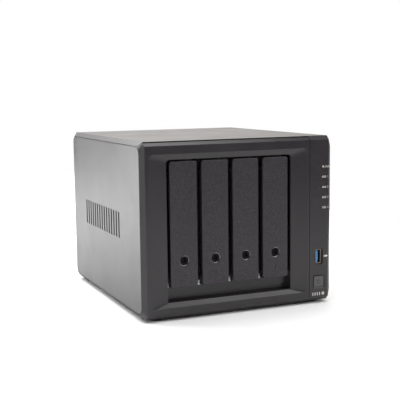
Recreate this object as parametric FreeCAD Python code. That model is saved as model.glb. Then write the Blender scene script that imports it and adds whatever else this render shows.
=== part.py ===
import FreeCAD, Part
import math
import os

# Four-bay desktop network storage box. Millimetres, +Z up, X across the front, -Y towards the front.
# The origin is the middle of the footprint, on the surface that the rubber feet stand on.

Vector = FreeCAD.Vector
X_AXIS = Vector(1, 0, 0)
Y_AXIS = Vector(0, 1, 0)
Z_AXIS = Vector(0, 0, 1)

# ---- Overall case -------------------------------------------------------------------------------
width = 199.0
depth = 223.0
foot_height = 2.5
edge_chamfer = 4.0
rear_chamfer = 1.0
panel_corner = 8.0
panel_flare = 14.6
side_panel_thickness = 2.0
side_wall = 2.0
top_wall = 2.5
floor_wall = 2.0
seam_gap = 0.2
panel_clearance = 0.15
panel_front_gap = 0.8
panel_edge_round = 0.7
cover_step = 1.2

# ---- Drives and bays ----------------------------------------------------------------------------
bay_count = 4
drive_thickness = 26.1
drive_width = 101.6
drive_length = 147.0
drive_hole_places = (41.3, 101.6)
tray_side_allowance = 0.45
bay_gap = 4.7
rail_allowance = 7.85
slide_clearance = 0.3

# ---- Bezel and control strip --------------------------------------------------------------------
strip_width = 25.1
strip_seam = 0.45
recess_left_margin = 7.5
recess_right_margin = 2.4
recess_low_margin = 10.0
recess_high_margin = 11.5
recess_depth = 2.3
recess_corner = 5.0
opening_side_gap = 3.25
opening_top_gap = 1.8
opening_high_corner = 3.5
opening_low_corner = 1.0
face_low = 30.0
finger_recess_height = 13.2
kick_wall_height = 7.8
lower_wall_setback = 1.0
top_margin = 16.9
collar_wall = 1.6
collar_depth = 8.0
clip_length = 10.0
clip_thickness = 1.5
clip_width = 14.0
clip_side_room = 1.5

# ---- Tray, handle, latch and lock ---------------------------------------------------------------
face_setback = 2.0
face_corner = 2.3
face_edge_round = 0.7
handle_plate = 3.0
skirt_wall = 1.6
skirt_depth = 3.5
pin_radius = 1.25
running_clearance = 0.05
pin_behind_face = 6.0
pin_below_top = 10.8
ear_thickness = 2.5
lug_thickness = 4.0
lug_gap = 0.5
pivot_wall = 1.45
tray_wall_behind_face = 13.0
tray_wall = 2.5
drive_setback = 3.5
rail_gap = 0.5
rail_web = 2.5
fin_wall = 1.5
tie_width = 3.5
tie_thickness = 2.5
lock_above_face_low = 25.0
lock_radius = 3.5
lock_ring_radius = 5.0
lock_ring_depth = 1.4
lock_boss_wall = 1.7
lock_boss_depth = 5.0
key_radius = 2.0
key_depth = 5.0
key_post_radius = 0.8
cam_shaft_radius = 1.8
cam_length = 8.0
cam_width = 2.6
cam_thickness = 1.5
cam_slot_margin = 1.4
mark_width = 1.0
mark_height = 4.5
mark_depth = 0.3
mark_above_face_low = 11.0
latch_travel = 2.0
latch_thickness = 3.0
latch_low = 4.6
latch_height = 7.0
hook_reach = 1.3
hook_height = 2.5
hook_depth = 2.1
post_radius = 1.2
post_head_radius = 2.3
post_offset = 9.0
pad_half_width = 7.0
strike_width = 3.1
strike_reach = 5.0
part_clearance = 0.2

# ---- Cage, boards and sockets -------------------------------------------------------------------
cage_sheet = 1.2
cage_gap = 0.2
rib_height = 8.0
upper_rib_setback = 12.0
cage_foot = 8.0
socket_length = 10.0
socket_reach = 3.5
socket_thickness = 5.0
socket_height = 33.0
socket_offset = 6.0
board_thickness = 1.6
board_height = 4.5
mainboard_side_gap = 3.0
mainboard_length = 168.0
screw_radius = 1.5
screw_head_radius = 2.75
screw_head_height = 1.0
screw_length = 3.0

# ---- Rear: fans, panel and ports ----------------------------------------------------------------
fan_size = 92.0
fan_depth = 25.0
fan_gap = 0.6
fan_center_height = 106.0
fan_bore_wall = 2.0
fan_hole_inset = 4.75
fan_screw_radius = 2.0
fan_screw_head = 3.8
fan_hub_radius = 17.0
fan_shaft_radius = 1.5
blade_count = 7
blade_tip_gap = 1.2
rear_sheet = 1.2
rear_setback = 1.0
grille_bar = 2.0
grille_slot = 4.5
foot_radius = 11.0
foot_side_inset = 5.5
foot_end_inset = 9.5
foot_seat = 0.8

# ---- Side vents ---------------------------------------------------------------------------------
vent_count = 15
vent_pitch = 7.8
vent_slot = 3.4
vent_height = 26.0
vent_behind_center = 8.5
vent_center_height = 83.0

# ---- Places worked out from the sizes above -----------------------------------------------------
left = -width / 2
right = width / 2
front = -depth / 2
rear = depth / 2
bottom = foot_height
tray_width = drive_thickness + 2 * tray_side_allowance
bay_pitch = tray_width + bay_gap
face_height = drive_width + 2 * rail_allowance
face_high = face_low + face_height
face_middle = face_low + face_height / 2
opening_low = face_low - finger_recess_height
opening_high = face_high + opening_top_gap
height = opening_high + top_margin
inner_side = width / 2 - side_panel_thickness - side_wall
panel_seat = width / 2 - side_panel_thickness
inner_top = height - top_wall
inner_floor = bottom + floor_wall
base_split = bottom + edge_chamfer
skin_back = front + edge_chamfer
strip_left = right - strip_width
recess_left = left + recess_left_margin
recess_right = strip_left - recess_right_margin
bay_center = (recess_left + recess_right) / 2
opening_half = (bay_count - 1) / 2 * bay_pitch + tray_width / 2 + opening_side_gap
collar_back = skin_back + collar_depth
bay_centers = [bay_center + (i - (bay_count - 1) / 2) * bay_pitch for i in range(bay_count)]
gap_centers = [bay_center + (i - bay_count / 2) * bay_pitch for i in range(bay_count + 1)]
face_y = front + face_setback
plate_back = face_y + handle_plate
skirt_back = plate_back + skirt_depth
pin_y = face_y + pin_behind_face
pin_z = face_high - pin_below_top
tray_wall_front = face_y + tray_wall_behind_face
tray_wall_back = tray_wall_front + tray_wall
drive_front = tray_wall_back + drive_setback
drive_back = drive_front + drive_length
web_low = face_middle - drive_width / 2 - rail_gap
web_high = face_middle + drive_width / 2 + rail_gap
cage_front = collar_back + cage_gap
cage_low = face_low
cage_high = opening_high + cage_gap
tray_low = cage_low + slide_clearance
tray_high = opening_high - slide_clearance
backplane_y = drive_back - socket_reach + socket_length
tie_y = drive_back + 0.5
lock_z = face_low + lock_above_face_low
rib_half = (bay_gap - 2 * slide_clearance) / 2
cage_half = bay_count / 2 * bay_pitch + rib_half
rear_inner = rear - rear_setback - rear_sheet
rear_outer = rear - rear_setback
mainboard_z = inner_floor + board_height
port_z = mainboard_z + board_thickness
mainboard_back = rear_inner - 2.0
mainboard_half = cage_half - mainboard_side_gap
strip_middle = right - 14.3
button_z = bottom + 19.2
button_size = 11.0
button_clearance = 0.25
button_frame = 13.7
button_travel = 1.2
usb_z = bottom + 44.5
usb_width = 5.8
usb_height = 13.4
usb_wall = 0.35
usb_depth = 14.0
usb_setback = 1.4
front_board_y = front + usb_setback + usb_depth
lens_z = [bottom + 93.0 + 10.1 * i for i in range(bay_count + 1)]
lens_x = strip_middle - 1.2
foot_x = width / 2 - foot_side_inset - foot_radius
foot_y = depth / 2 - foot_end_inset - foot_radius


# ---- Shared shapes ------------------------------------------------------------------------------
def box(x0, x1, y0, y1, z0, z1):
    """A block between two opposite corners."""
    return Part.makeBox(x1 - x0, y1 - y0, z1 - z0, Vector(x0, y0, z0))


def rod(x, y, z, radius, length, axis=Y_AXIS):
    """A cylinder that starts at a point and runs along an axis."""
    return Part.makeCylinder(radius, length, Vector(x, y, z), axis)


def edges_along(shape, axis):
    """The straight edges of a shape that run along an axis."""
    found = []
    for edge in shape.Edges:
        if edge.Curve.TypeId == "Part::GeomLine":
            run = edge.Vertexes[1].Point.sub(edge.Vertexes[0].Point)
            if run.cross(axis).Length < 1e-6 * run.Length:
                found.append(edge)
    return found


def rounded_box(x0, x1, y0, y1, z0, z1, radius, axis):
    """A block whose four edges along one axis are rounded."""
    block = box(x0, x1, y0, y1, z0, z1)
    return block.makeFillet(radius, edges_along(block, axis))


def face_edges(shape, axis, place):
    """The edges that lie in the plane at a place along an axis."""
    found = []
    for edge in shape.Edges:
        limits = edge.BoundBox
        low = Vector(limits.XMin, limits.YMin, limits.ZMin).dot(axis)
        high = Vector(limits.XMax, limits.YMax, limits.ZMax).dot(axis)
        if abs(low - place) < 1e-4 and abs(high - place) < 1e-4:
            found.append(edge)
    return found


def outline(y, x0, x1, z0, z1, low_radius, high_radius):
    """A closed upright rectangle at depth y, with rounded lower and upper corners."""
    corners = [
        (x1 - low_radius, z0 + low_radius, low_radius, -90),
        (x1 - high_radius, z1 - high_radius, high_radius, 0),
        (x0 + high_radius, z1 - high_radius, high_radius, 90),
        (x0 + low_radius, z0 + low_radius, low_radius, 180),
    ]
    arcs = []
    for x, z, radius, start in corners:
        points = []
        for turn in (0, 45, 90):
            angle = math.radians(start + turn)
            points.append(Vector(x + radius * math.cos(angle), y, z + radius * math.sin(angle)))
        arcs.append((points, Part.Arc(*points).toShape()))
    edges = []
    for i, (points, arc) in enumerate(arcs):
        following = arcs[(i + 1) % len(arcs)][0]
        edges.append(arc)
        edges.append(Part.LineSegment(points[2], following[0]).toShape())
    return Part.Wire(edges)


def join(shapes):
    """Fuses several shapes into one solid."""
    whole = shapes[0].fuse(shapes[1:]) if len(shapes) > 1 else shapes[0]
    return whole.removeSplitter()


def save(node, shapes):
    """Writes one sub-part: a single solid, or a group of separate ones."""
    shapes = shapes if isinstance(shapes, list) else [shapes]
    solids = [solid for shape in shapes for solid in shape.Solids]
    if len(solids) != len(shapes):
        raise ValueError(f"{node} has {len(solids)} solids and should have {len(shapes)}")
    if not all(solid.isValid() for solid in solids):
        raise ValueError(f"{node} isn't a valid solid")
    shape = solids[0] if len(solids) == 1 else Part.makeCompound(solids)
    shape.exportStep(os.path.join("parts", node + ".step"))


# ---- Outer case ---------------------------------------------------------------------------------
def case_envelope():
    """The whole outer form: a bevelled block whose sides end in flat panels with rounded corners."""
    seen_from_side = bevelled_block(X_AXIS, front, rear, bottom, height, edge_chamfer, rear_chamfer)
    seen_from_front = bevelled_block(Y_AXIS, left, right, bottom, height, edge_chamfer, edge_chamfer)
    seen_from_above = bevelled_block(Z_AXIS, front, rear, left, right, edge_chamfer, rear_chamfer)
    block = seen_from_side.common(seen_from_front).common(seen_from_above)
    cutters = []
    for side in (-1, 1):
        for y, y_end in ((front + edge_chamfer + panel_corner, front - 1),
                         (rear - rear_chamfer - panel_corner, rear + 1)):
            for z, z_end in ((base_split + panel_corner, bottom - 1),
                             (height - edge_chamfer - panel_corner, height + 1)):
                cutters.append(corner_cutter(side, y, y_end, z, z_end))
    return block.cut(cutters)


def bevelled_block(axis, a0, a1, b0, b1, bevel_low, bevel_high):
    """The case's block with its four edges along one axis bevelled; the a limits have their own bevels."""
    corners = [(a0 + bevel_low, b0), (a1 - bevel_high, b0), (a1, b0 + bevel_high), (a1, b1 - bevel_high),
               (a1 - bevel_high, b1), (a0 + bevel_low, b1), (a0, b1 - bevel_low), (a0, b0 + bevel_low)]
    if axis == X_AXIS:
        points = [Vector(left, a, b) for a, b in corners]
        length = width
    elif axis == Y_AXIS:
        points = [Vector(a, front, b) for a, b in corners]
        length = depth
    else:
        points = [Vector(b, a, bottom) for a, b in corners]
        length = height - bottom
    return Part.Face(Part.makePolygon(points + points[:1])).extrude(axis * length)


def corner_cutter(side, y, y_end, z, z_end):
    """What is cut from one corner of a side, outside the cone that flares out from its flat panel."""
    reach = 1.0
    slope = (panel_flare - panel_corner) / edge_chamfer
    inner = width / 2 - edge_chamfer
    cone = Part.makeCone(panel_flare + slope * reach, panel_corner - slope * reach, edge_chamfer + 2 * reach,
                         Vector(side * (inner - reach), y, z), X_AXIS * side)
    near, far = sorted((side * inner, side * (inner + edge_chamfer + reach / 2)))
    block = box(near, far, min(y, y_end), max(y, y_end), min(z, z_end), max(z, z_end))
    return block.cut(cone)


def vent_row(side, inner, outer, slot):
    """A row of upright rounded slots through one side of the case."""
    near, far = sorted((side * inner, side * outer))
    slots = []
    for i in range(vent_count):
        y = vent_behind_center + (i - (vent_count - 1) / 2) * vent_pitch
        low = vent_center_height - vent_height / 2 - (slot - vent_slot) / 2
        slots.append(rounded_box(near, far, y - slot / 2, y + slot / 2, low,
                                 low + vent_height + slot - vent_slot, slot / 2 - 0.01, X_AXIS))
    return slots


def panel_pocket(side):
    """The shallow pocket in one side of the case that its flat panel fills."""
    near, far = sorted((side * panel_seat, side * (width / 2 + 1)))
    return rounded_box(near, far, front + edge_chamfer, rear - rear_chamfer, base_split,
                       height - edge_chamfer, panel_corner, X_AXIS)


def screw_block(x, z):
    """A block inside a rear corner that a case screw bites into."""
    block = box(x - 4, x + 4, rear_inner - 12, rear_inner, z - 4, z + 4)
    return block.cut(rod(x, rear_inner - 9, z, screw_radius, 10))


def rear_screw_places():
    """The x and z of the four screws in the rear panel's corners."""
    x = inner_side - 4
    return [(-x, inner_floor + 4), (x, inner_floor + 4), (-x, inner_top - 4), (x, inner_top - 4)]


def top_cover(envelope):
    """The top and the two side walls in one shell."""
    shell = envelope.common(box(left, right, skin_back + seam_gap, rear, base_split, height))
    shell = shell.cut(box(-inner_side, inner_side, front, rear + 1, bottom, inner_top))
    cuts = [panel_pocket(-1), panel_pocket(1)]
    for side in (-1, 1):
        cuts += vent_row(side, inner_side - 1, panel_seat + 1, vent_slot + 0.8)
    shell = shell.cut(cuts)
    blocks = [screw_block(x, z) for x, z in rear_screw_places()[2:]]
    return join([shell] + blocks)


def side_panel(side):
    """A flat outer side panel with its row of vent slots."""
    near, far = sorted((side * panel_seat, side * width / 2))
    plate = rounded_box(near, far, front + edge_chamfer + panel_front_gap,
                        rear - rear_chamfer - panel_clearance, base_split + panel_clearance,
                        height - edge_chamfer - panel_clearance, panel_corner, X_AXIS)
    plate = plate.makeFillet(panel_edge_round, face_edges(plate, X_AXIS, side * width / 2))
    return plate.cut(vent_row(side, panel_seat - 1, width / 2 + 1, vent_slot))


def lid_places():
    """The x of the two service lids in the floor."""
    return [bay_center - 21, bay_center + 21]


def base_pan(envelope):
    """The floor of the case, with seats for the feet, posts for the board and two lid openings."""
    pan = envelope.common(box(left, right, skin_back + seam_gap, rear, bottom, base_split - panel_clearance))
    pan = pan.cut(box(-inner_side, inner_side, skin_back + seam_gap + side_wall, rear + 1, inner_floor, height))
    solids = [pan]
    for x, z in rear_screw_places()[:2]:
        solids.append(screw_block(x, z))
    for x, y in board_screw_places():
        solids.append(rod(x, y, inner_floor - 0.5, 3.5, board_height + 0.5, Z_AXIS))
    pan = join(solids)
    cuts = []
    for x, y in board_screw_places():
        cuts.append(rod(x, y, mainboard_z - screw_length, screw_radius, screw_length + 1, Z_AXIS))
    for x, y in cage_screw_places():
        cuts.append(rod(x, y, inner_floor - floor_wall / 2, screw_radius, floor_wall, Z_AXIS))
    for x in (-foot_x, foot_x):
        for y in (-foot_y, foot_y):
            cuts.append(rod(x, y, bottom - 1, foot_radius + part_clearance, 1 + foot_seat, Z_AXIS))
    for x in lid_places():
        cuts.append(lid_block(x, part_clearance))
        cuts.append(lid_block(x, -1.5, floor_wall + 1))
    return pan.cut(cuts)


def lid_block(x, margin, thickness=1.2):
    """The space of a service lid in the floor, grown by a margin."""
    return rounded_box(x - 14 - margin, x + 14 + margin, -48 - margin, 48 + margin,
                       bottom, bottom + thickness, 3.0, Z_AXIS)


def service_lid(x):
    """A clip-in lid under the case, with a finger notch."""
    lid = lid_block(x, 0)
    return lid.cut(rod(x, -48, bottom - 0.1, 5, 0.7, Z_AXIS))


def rubber_foot(x, y):
    """A round rubber foot with a softened lower edge."""
    pad = rod(x, y, 0, foot_radius, bottom + foot_seat, Z_AXIS)
    return pad.makeFillet(0.6, face_edges(pad, Z_AXIS, 0))


# ---- Bezel and control strip --------------------------------------------------------------------
def snap_clips(x_spaces):
    """Tongues behind the front skin that reach under the top cover and over the floor's front edge."""
    clips = []
    for x0, x1 in x_spaces:
        x = (x0 + x1) / 2
        wide = min(clip_width, x1 - x0 - 2 * clip_side_room)
        for z0 in (inner_top - seam_gap - clip_thickness, base_split + seam_gap):
            clips.append(box(x - wide / 2, x + wide / 2, skin_back - 1,
                             skin_back + clip_length, z0, z0 + clip_thickness))
    return clips


def front_bezel(envelope):
    """The main front frame: a wide bevelled recess around the bays, with a collar behind it."""
    top = height - cover_step
    skin = envelope.common(box(left, strip_left - strip_seam / 2, front, skin_back, bottom, top))
    x0, x1 = bay_center - opening_half, bay_center + opening_half
    bevel = Part.makeLoft([
        outline(front, recess_left, recess_right, bottom + recess_low_margin,
                height - recess_high_margin, recess_corner, recess_corner),
        outline(front + recess_depth, x0, x1, opening_low, opening_high,
                opening_low_corner, opening_high_corner),
    ], True, True)
    collar = box(x0 - collar_wall, x1 + collar_wall, skin_back - 1, collar_back,
                 opening_low - collar_wall, opening_high + collar_wall)
    cage_side = cage_half + cage_sheet
    spaces = [(-inner_side, bay_center - cage_side), (bay_center - clip_width, bay_center + clip_width),
              (bay_center + cage_side, strip_left)]
    frame = join([skin.cut(bevel), collar] + snap_clips(spaces))
    through = Part.Face(outline(front - 1, x0, x1, opening_low, opening_high,
                                opening_low_corner, opening_high_corner)).extrude(Y_AXIS * 20)
    frame = frame.cut(through)
    kick_wall = box(x0 - 0.5, x1 + 0.5, collar_back - collar_wall, collar_back,
                    face_low - part_clearance - kick_wall_height, face_low - part_clearance)
    lower_wall = box(x0 - 0.5, x1 + 0.5, collar_back - collar_wall + lower_wall_setback, collar_back,
                     opening_low - 0.5, face_low - part_clearance)
    return join([frame, kick_wall, lower_wall])


def control_strip(envelope):
    """The narrow front strip with the lights, the USB socket and the power button."""
    skin = envelope.common(box(strip_left + strip_seam / 2, right, front, skin_back, bottom, height))
    strip = join([skin] + snap_clips([(strip_left, inner_side)]))
    half = button_size / 2 + button_clearance
    usb_x, usb_h = usb_width / 2 + 1.3, usb_height / 2 + 1.2
    rim = button_frame / 2
    cuts = [
        rounded_box(strip_middle - half, strip_middle + half, front - 1, skin_back + 1,
                    button_z - half, button_z + half, 1.2, Y_AXIS),
        Part.makeLoft([
            outline(front, strip_middle - rim, strip_middle + rim, button_z - rim, button_z + rim, 1.8, 1.8),
            outline(front + 0.9, strip_middle - half, strip_middle + half, button_z - half,
                    button_z + half, 1.2, 1.2),
        ], True, True),
        rounded_box(strip_middle - usb_x, strip_middle + usb_x, front - 1, front + usb_setback,
                    usb_z - usb_h, usb_z + usb_h, 1.8, Y_AXIS),
        box(strip_middle - usb_width / 2 - part_clearance, strip_middle + usb_width / 2 + part_clearance,
            front, skin_back + 1, usb_z - usb_height / 2 - part_clearance,
            usb_z + usb_height / 2 + part_clearance),
    ]
    for z in lens_z:
        cuts.append(box(lens_x - 1.6, lens_x + 1.6, front - 1, skin_back + 1, z - 0.7, z + 0.7))
    return strip.cut(cuts)


def indicator_lens(z):
    """A smoked light pipe that fills one window in the strip and ends at the front board."""
    window = box(lens_x - 1.55, lens_x + 1.55, front + 0.1, skin_back + 0.5, z - 0.65, z + 0.65)
    pipe = box(lens_x - 1.2, lens_x + 1.2, skin_back, front_board_y - 1.2, z - 0.5, z + 0.5)
    return join([window, pipe])


def power_button():
    """A square push cap with a collar that keeps it in the strip and a stem that meets the switch."""
    half = button_size / 2
    cap = rounded_box(strip_middle - half, strip_middle + half, front + 0.3, skin_back + 1,
                      button_z - half, button_z + half, 1.0, Y_AXIS)
    cap = cap.makeFillet(0.5, face_edges(cap, Y_AXIS, front + 0.3))
    collar = box(strip_middle - half - 1, strip_middle + half + 1, skin_back + part_clearance,
                 skin_back + 1.2, button_z - half - 1, button_z + half + 1)
    stem = rod(strip_middle, skin_back + 1, button_z, 1.8, front_board_y - 4.0 - button_travel - skin_back - 1.2)
    return join([cap, collar, stem])


def power_switch():
    """A small push switch soldered to the front board."""
    body = box(strip_middle - 3, strip_middle + 3, front_board_y - 3.2, front_board_y, button_z - 3, button_z + 3)
    return join([body, rod(strip_middle, front_board_y - 4.0, button_z, 1.7, 1)])


def usb_shell(x, z, y0, y1, half_x, half_z):
    """The folded metal shell of a USB socket, open at the front."""
    shell = box(x - half_x, x + half_x, y0, y1, z - half_z, z + half_z)
    return shell.cut(box(x - half_x + usb_wall, x + half_x - usb_wall, y0 - 1, y1 - 1,
                         z - half_z + usb_wall, z + half_z - usb_wall))


def usb_front_tongue():
    """The contact tongue inside the front USB socket."""
    y1 = front + usb_setback + usb_depth - 1
    tongue = box(strip_middle - 2.0, strip_middle - 0.2, front + usb_setback + 1.0, y1,
                 usb_z - 5.5, usb_z + 5.5)
    root = box(strip_middle - usb_width / 2 + usb_wall, strip_middle + usb_width / 2 - usb_wall,
               y1 - 2.5, y1, usb_z - usb_height / 2 + usb_wall, usb_z + usb_height / 2 - usb_wall)
    return join([tongue, root])


def front_board():
    """The upright circuit board behind the strip, with one light below each window."""
    board = box(strip_middle - 9, strip_middle + 9, front_board_y, front_board_y + board_thickness,
                bottom + 8, lens_z[-1] + 10)
    lights = [box(lens_x - 1, lens_x + 1, front_board_y - 1, front_board_y + 0.5, z - 0.6, z + 0.6)
              for z in lens_z]
    plug = box(strip_middle - 6, strip_middle + 6, front_board_y + 1, front_board_y + 6,
               bottom + 62, bottom + 68)
    return join([board, plug] + lights)


# ---- Trays --------------------------------------------------------------------------------------
def tray_frame(x):
    """The drive tray: a vented front wall, two channel rails, a rear tie and the hinge lugs."""
    half = tray_width / 2
    solids = [box(x - half, x + half, tray_wall_front, tray_wall_back, tray_low, tray_high)]
    rail_end = tie_y + tie_thickness
    for web0, web1, fin0, fin1 in ((web_low - rail_web, web_low, tray_low, web_low),
                                   (web_high, web_high + rail_web, web_high, tray_high)):
        solids.append(box(x - half, x + half, tray_wall_front, rail_end, web0, web1))
        solids.append(box(x - half, x - half + fin_wall, tray_wall_front, rail_end, fin0, fin1))
        solids.append(box(x + half - fin_wall, x + half, tray_wall_front, rail_end, fin0, fin1))
    solids.append(box(x - half, x - half + tie_width, tie_y, rail_end, tray_low, tray_high))
    lug_radius = pin_radius + pivot_wall
    for side in (-1, 1):
        near = half - ear_thickness - lug_gap - lug_thickness
        x0 = min(x + side * near, x + side * (near + lug_thickness))
        solids.append(rod(x0, pin_y, pin_z, lug_radius, lug_thickness, X_AXIS))
        solids.append(box(x0, x0 + lug_thickness, pin_y, tray_wall_front + 1,
                          pin_z - lug_radius, pin_z + lug_radius))
    cuts = [rod(x - half, pin_y, pin_z, pin_radius + running_clearance, tray_width, X_AXIS)]
    slot = cam_length / 2 + cam_slot_margin
    cuts.append(box(x - 2.4, x + 2.4, tray_wall_front - 1, tray_wall_back + 1, lock_z - slot, lock_z + slot))
    for z in (lock_z + 14, lock_z + 31, lock_z + 48):
        for side in (-1, 1):
            cuts.append(rounded_box(x + side * 5.2 - 3.2, x + side * 5.2 + 3.2, tray_wall_front - 1,
                                    tray_wall_back + 1, z, z + 13, 2.5, Y_AXIS))
    for y in clip_pin_places():
        cuts.append(rod(x, y, web_low - rail_web - 1, 1.9, rail_web + 2, Z_AXIS))
        cuts.append(rod(x, y, web_high - 1, 1.9, rail_web + 2, Z_AXIS))
    return join(solids).cut(cuts)


def clip_pin_places():
    """How far back the drive's side holes are."""
    return [drive_front + place for place in drive_hole_places]


def drive_clips(x):
    """Two clip-in strips whose pins hold the drive in its tray without screws."""
    strips = []
    y0, y1 = drive_front + 25, drive_front + 118
    for low, high, pin_z0 in ((web_low - rail_web - 1.8, web_low - rail_web, web_low - rail_web),
                              (web_high + rail_web, web_high + rail_web + 1.8, web_high - rail_gap - 2)):
        strip = rounded_box(x - 9.5, x + 9.5, y0, y1, low, high, 3.0, Z_AXIS)
        pins = [rod(x, y, pin_z0 - 0.5, 1.5, rail_web + rail_gap + 2.5, Z_AXIS) for y in clip_pin_places()]
        strips.append(join([strip] + pins))
    return strips


def hard_drive(x):
    """A 3.5-inch drive on its edge: casting, raised lid, board recess and rear connector slot."""
    low, high = face_middle - drive_width / 2, face_middle + drive_width / 2
    half = drive_thickness / 2
    body = rounded_box(x - half + 1, x + half, drive_front, drive_back, low, high, 2.0, X_AXIS)
    lid = rounded_box(x - half, x - half + 2, drive_front + 4, drive_back - 12, low + 3, high - 3, 8.0, X_AXIS)
    boss = rod(x - half, drive_front + 52, face_middle, 18, 2, X_AXIS)
    casting = join([body, lid.cut(boss)])
    cuts = [
        rounded_box(x + half - 4, x + half + 1, drive_front + 45, drive_back - 8, low + 7, high - 7, 4.0, X_AXIS),
        rod(x + half - 6, drive_front + 52, face_middle, 20, 8, X_AXIS),
        socket_block(x, 0.6, drive_back - socket_reach - 2, drive_back + 1),
    ]
    for y in clip_pin_places():
        cuts.append(rod(x, y, low - 1, 1.9, 4.5, Z_AXIS))
        cuts.append(rod(x, y, high - 3.5, 1.9, 4.5, Z_AXIS))
    return casting.cut(cuts)


def socket_block(x, margin, y0, y1):
    """The block that a drive's data and power socket takes up."""
    x0 = x + socket_offset - socket_thickness / 2 - margin
    z0 = face_middle - socket_height - 4 - margin
    return box(x0, x0 + socket_thickness + 2 * margin, y0, y1, z0, z0 + socket_height + 2 * margin)


def drive_socket(x):
    """One drive socket on the backplane, with its split blade slot."""
    block = socket_block(x, 0, drive_back - socket_reach, backplane_y)
    slot = socket_block(x, -1.5, drive_back - socket_reach - 1, drive_back - socket_reach + 5)
    return block.cut(slot)


def tray_handle(x):
    """The lever that is the visible tray face, with its ears, skirts, latch posts and lock boss."""
    half = tray_width / 2
    plate = rounded_box(x - half, x + half, face_y, plate_back, face_low, face_high, face_corner, Y_AXIS)
    plate = plate.makeFillet(face_edge_round, face_edges(plate, Y_AXIS, face_y))
    solids = [plate]
    for side in (-1, 1):
        x0 = min(x + side * half, x + side * (half - skirt_wall))
        solids.append(box(x0, x0 + skirt_wall, plate_back - 1, skirt_back, face_low + face_corner, pin_z))
        x0 = min(x + side * half, x + side * (half - ear_thickness))
        solids.append(rod(x0, pin_y, pin_z, pin_radius + pivot_wall, ear_thickness, X_AXIS))
        solids.append(box(x0, x0 + ear_thickness, plate_back - 1, pin_y, pin_z - 5, pin_z + pin_radius + pivot_wall))
        foot = (half + pad_half_width) / 2
        solids.append(box(x + side * foot - 1.8, x + side * foot + 1.8, plate_back - 1, skirt_back,
                          face_low + 0.8, face_low + 2.4))
        solids.append(rod(x + side * post_offset, plate_back - 1, post_z(), post_radius, latch_thickness + 1.6))
        solids.append(rod(x + side * post_offset, plate_back + latch_thickness + 0.4, post_z(),
                          post_head_radius, 0.8))
    solids.append(rod(x, plate_back - 1, lock_z, lock_radius + lock_boss_wall, lock_boss_depth + 1))
    ring = Part.makeCone(lock_ring_radius, lock_radius, lock_ring_depth, Vector(x, face_y, lock_z), Y_AXIS)
    hook_y = hook_front() - part_clearance
    cuts = [
        rod(x - half - 1, pin_y, pin_z, pin_radius, tray_width + 2, X_AXIS),
        rod(x, face_y - 1, lock_z, lock_radius + running_clearance, handle_plate + lock_boss_depth + 2),
        ring,
        box(x - mark_width / 2, x + mark_width / 2, face_y - 1, face_y + mark_depth,
            face_low + mark_above_face_low - mark_height / 2, face_low + mark_above_face_low + mark_height / 2),
    ]
    for side in (-1, 1):
        x0 = min(x + side * (half + 1), x + side * (half - skirt_wall - 0.5))
        cuts.append(box(x0, x0 + skirt_wall + 1.5, hook_y, skirt_back + 1, hook_low() - part_clearance,
                        hook_low() + hook_height + latch_travel + part_clearance))
    return join(solids).cut(cuts)


def post_z():
    """The height of the two posts that guide the latch."""
    return face_low + latch_low + latch_height - post_radius - 1.4


def hook_low():
    """The height of the latch hooks' lower edge."""
    return face_low + latch_low + 0.15


def hook_front():
    """How far back the latch hooks start."""
    return plate_back + latch_thickness + part_clearance - hook_depth


def handle_pin(x):
    """The steel pin that the handle turns on."""
    length = tray_width - 2 * part_clearance
    return rod(x - length / 2, pin_y, pin_z, pin_radius, length, X_AXIS)


def handle_latch(x):
    """The sprung slide behind the handle: a finger pad below and a sloped hook at each side."""
    y0, y1 = plate_back + part_clearance, plate_back + part_clearance + latch_thickness
    bar = tray_width / 2 - skirt_wall - slide_clearance
    low = face_low + latch_low
    solids = [
        box(x - bar, x + bar, y0, y1, low, low + latch_height),
        box(x - pad_half_width, x + pad_half_width, y0, y1 - 0.6, face_low + 0.6, low + 1),
    ]
    reach = tray_width / 2 + hook_reach
    for side in (-1, 1):
        points = [
            Vector(x + side * (bar - 1), y1, hook_low()),
            Vector(x + side * reach, y1, hook_low()),
            Vector(x + side * reach, y1, hook_low() + hook_height * 0.55),
            Vector(x + side * (reach - hook_reach), y1, hook_low() + hook_height),
            Vector(x + side * (bar - 1), y1, hook_low() + hook_height),
        ]
        hook = Part.Face(Part.makePolygon(points + points[:1]))
        solids.append(hook.extrude(Y_AXIS * -hook_depth))
    cuts = []
    for side in (-1, 1):
        middle = x + side * post_offset
        gap = post_radius + part_clearance
        cuts.append(box(middle - gap, middle + gap, y0 - 1, y1 + 1, post_z() - gap - latch_travel, post_z() + gap))
    return join(solids).cut(cuts)


def tray_lock(x):
    """The tubular key lock: a socketed barrel and the cam that turns behind the tray's front wall."""
    y0 = face_y + 0.4
    y1 = plate_back + lock_boss_depth + 0.5
    cam_y = tray_wall_back + slide_clearance
    barrel = rod(x, y0, lock_z, lock_radius, y1 - y0)
    barrel = barrel.cut(rod(x, y0 - 1, lock_z, key_radius, key_depth + 1))
    post = rod(x, y0 + 0.6, lock_z, key_post_radius, key_depth)
    shaft = rod(x, y1 - 1, lock_z, cam_shaft_radius, cam_y + cam_thickness - y1 + 1)
    cam = rounded_box(x - cam_width / 2, x + cam_width / 2, cam_y, cam_y + cam_thickness,
                      lock_z - cam_length / 2, lock_z + cam_length / 2, 1.0, Y_AXIS)
    key_notch = box(x - 0.6, x + 0.6, y0 - 1, y0 + key_depth, lock_z, lock_z + key_radius + 0.7)
    return join([barrel.cut(key_notch), post, shaft, cam])


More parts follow.
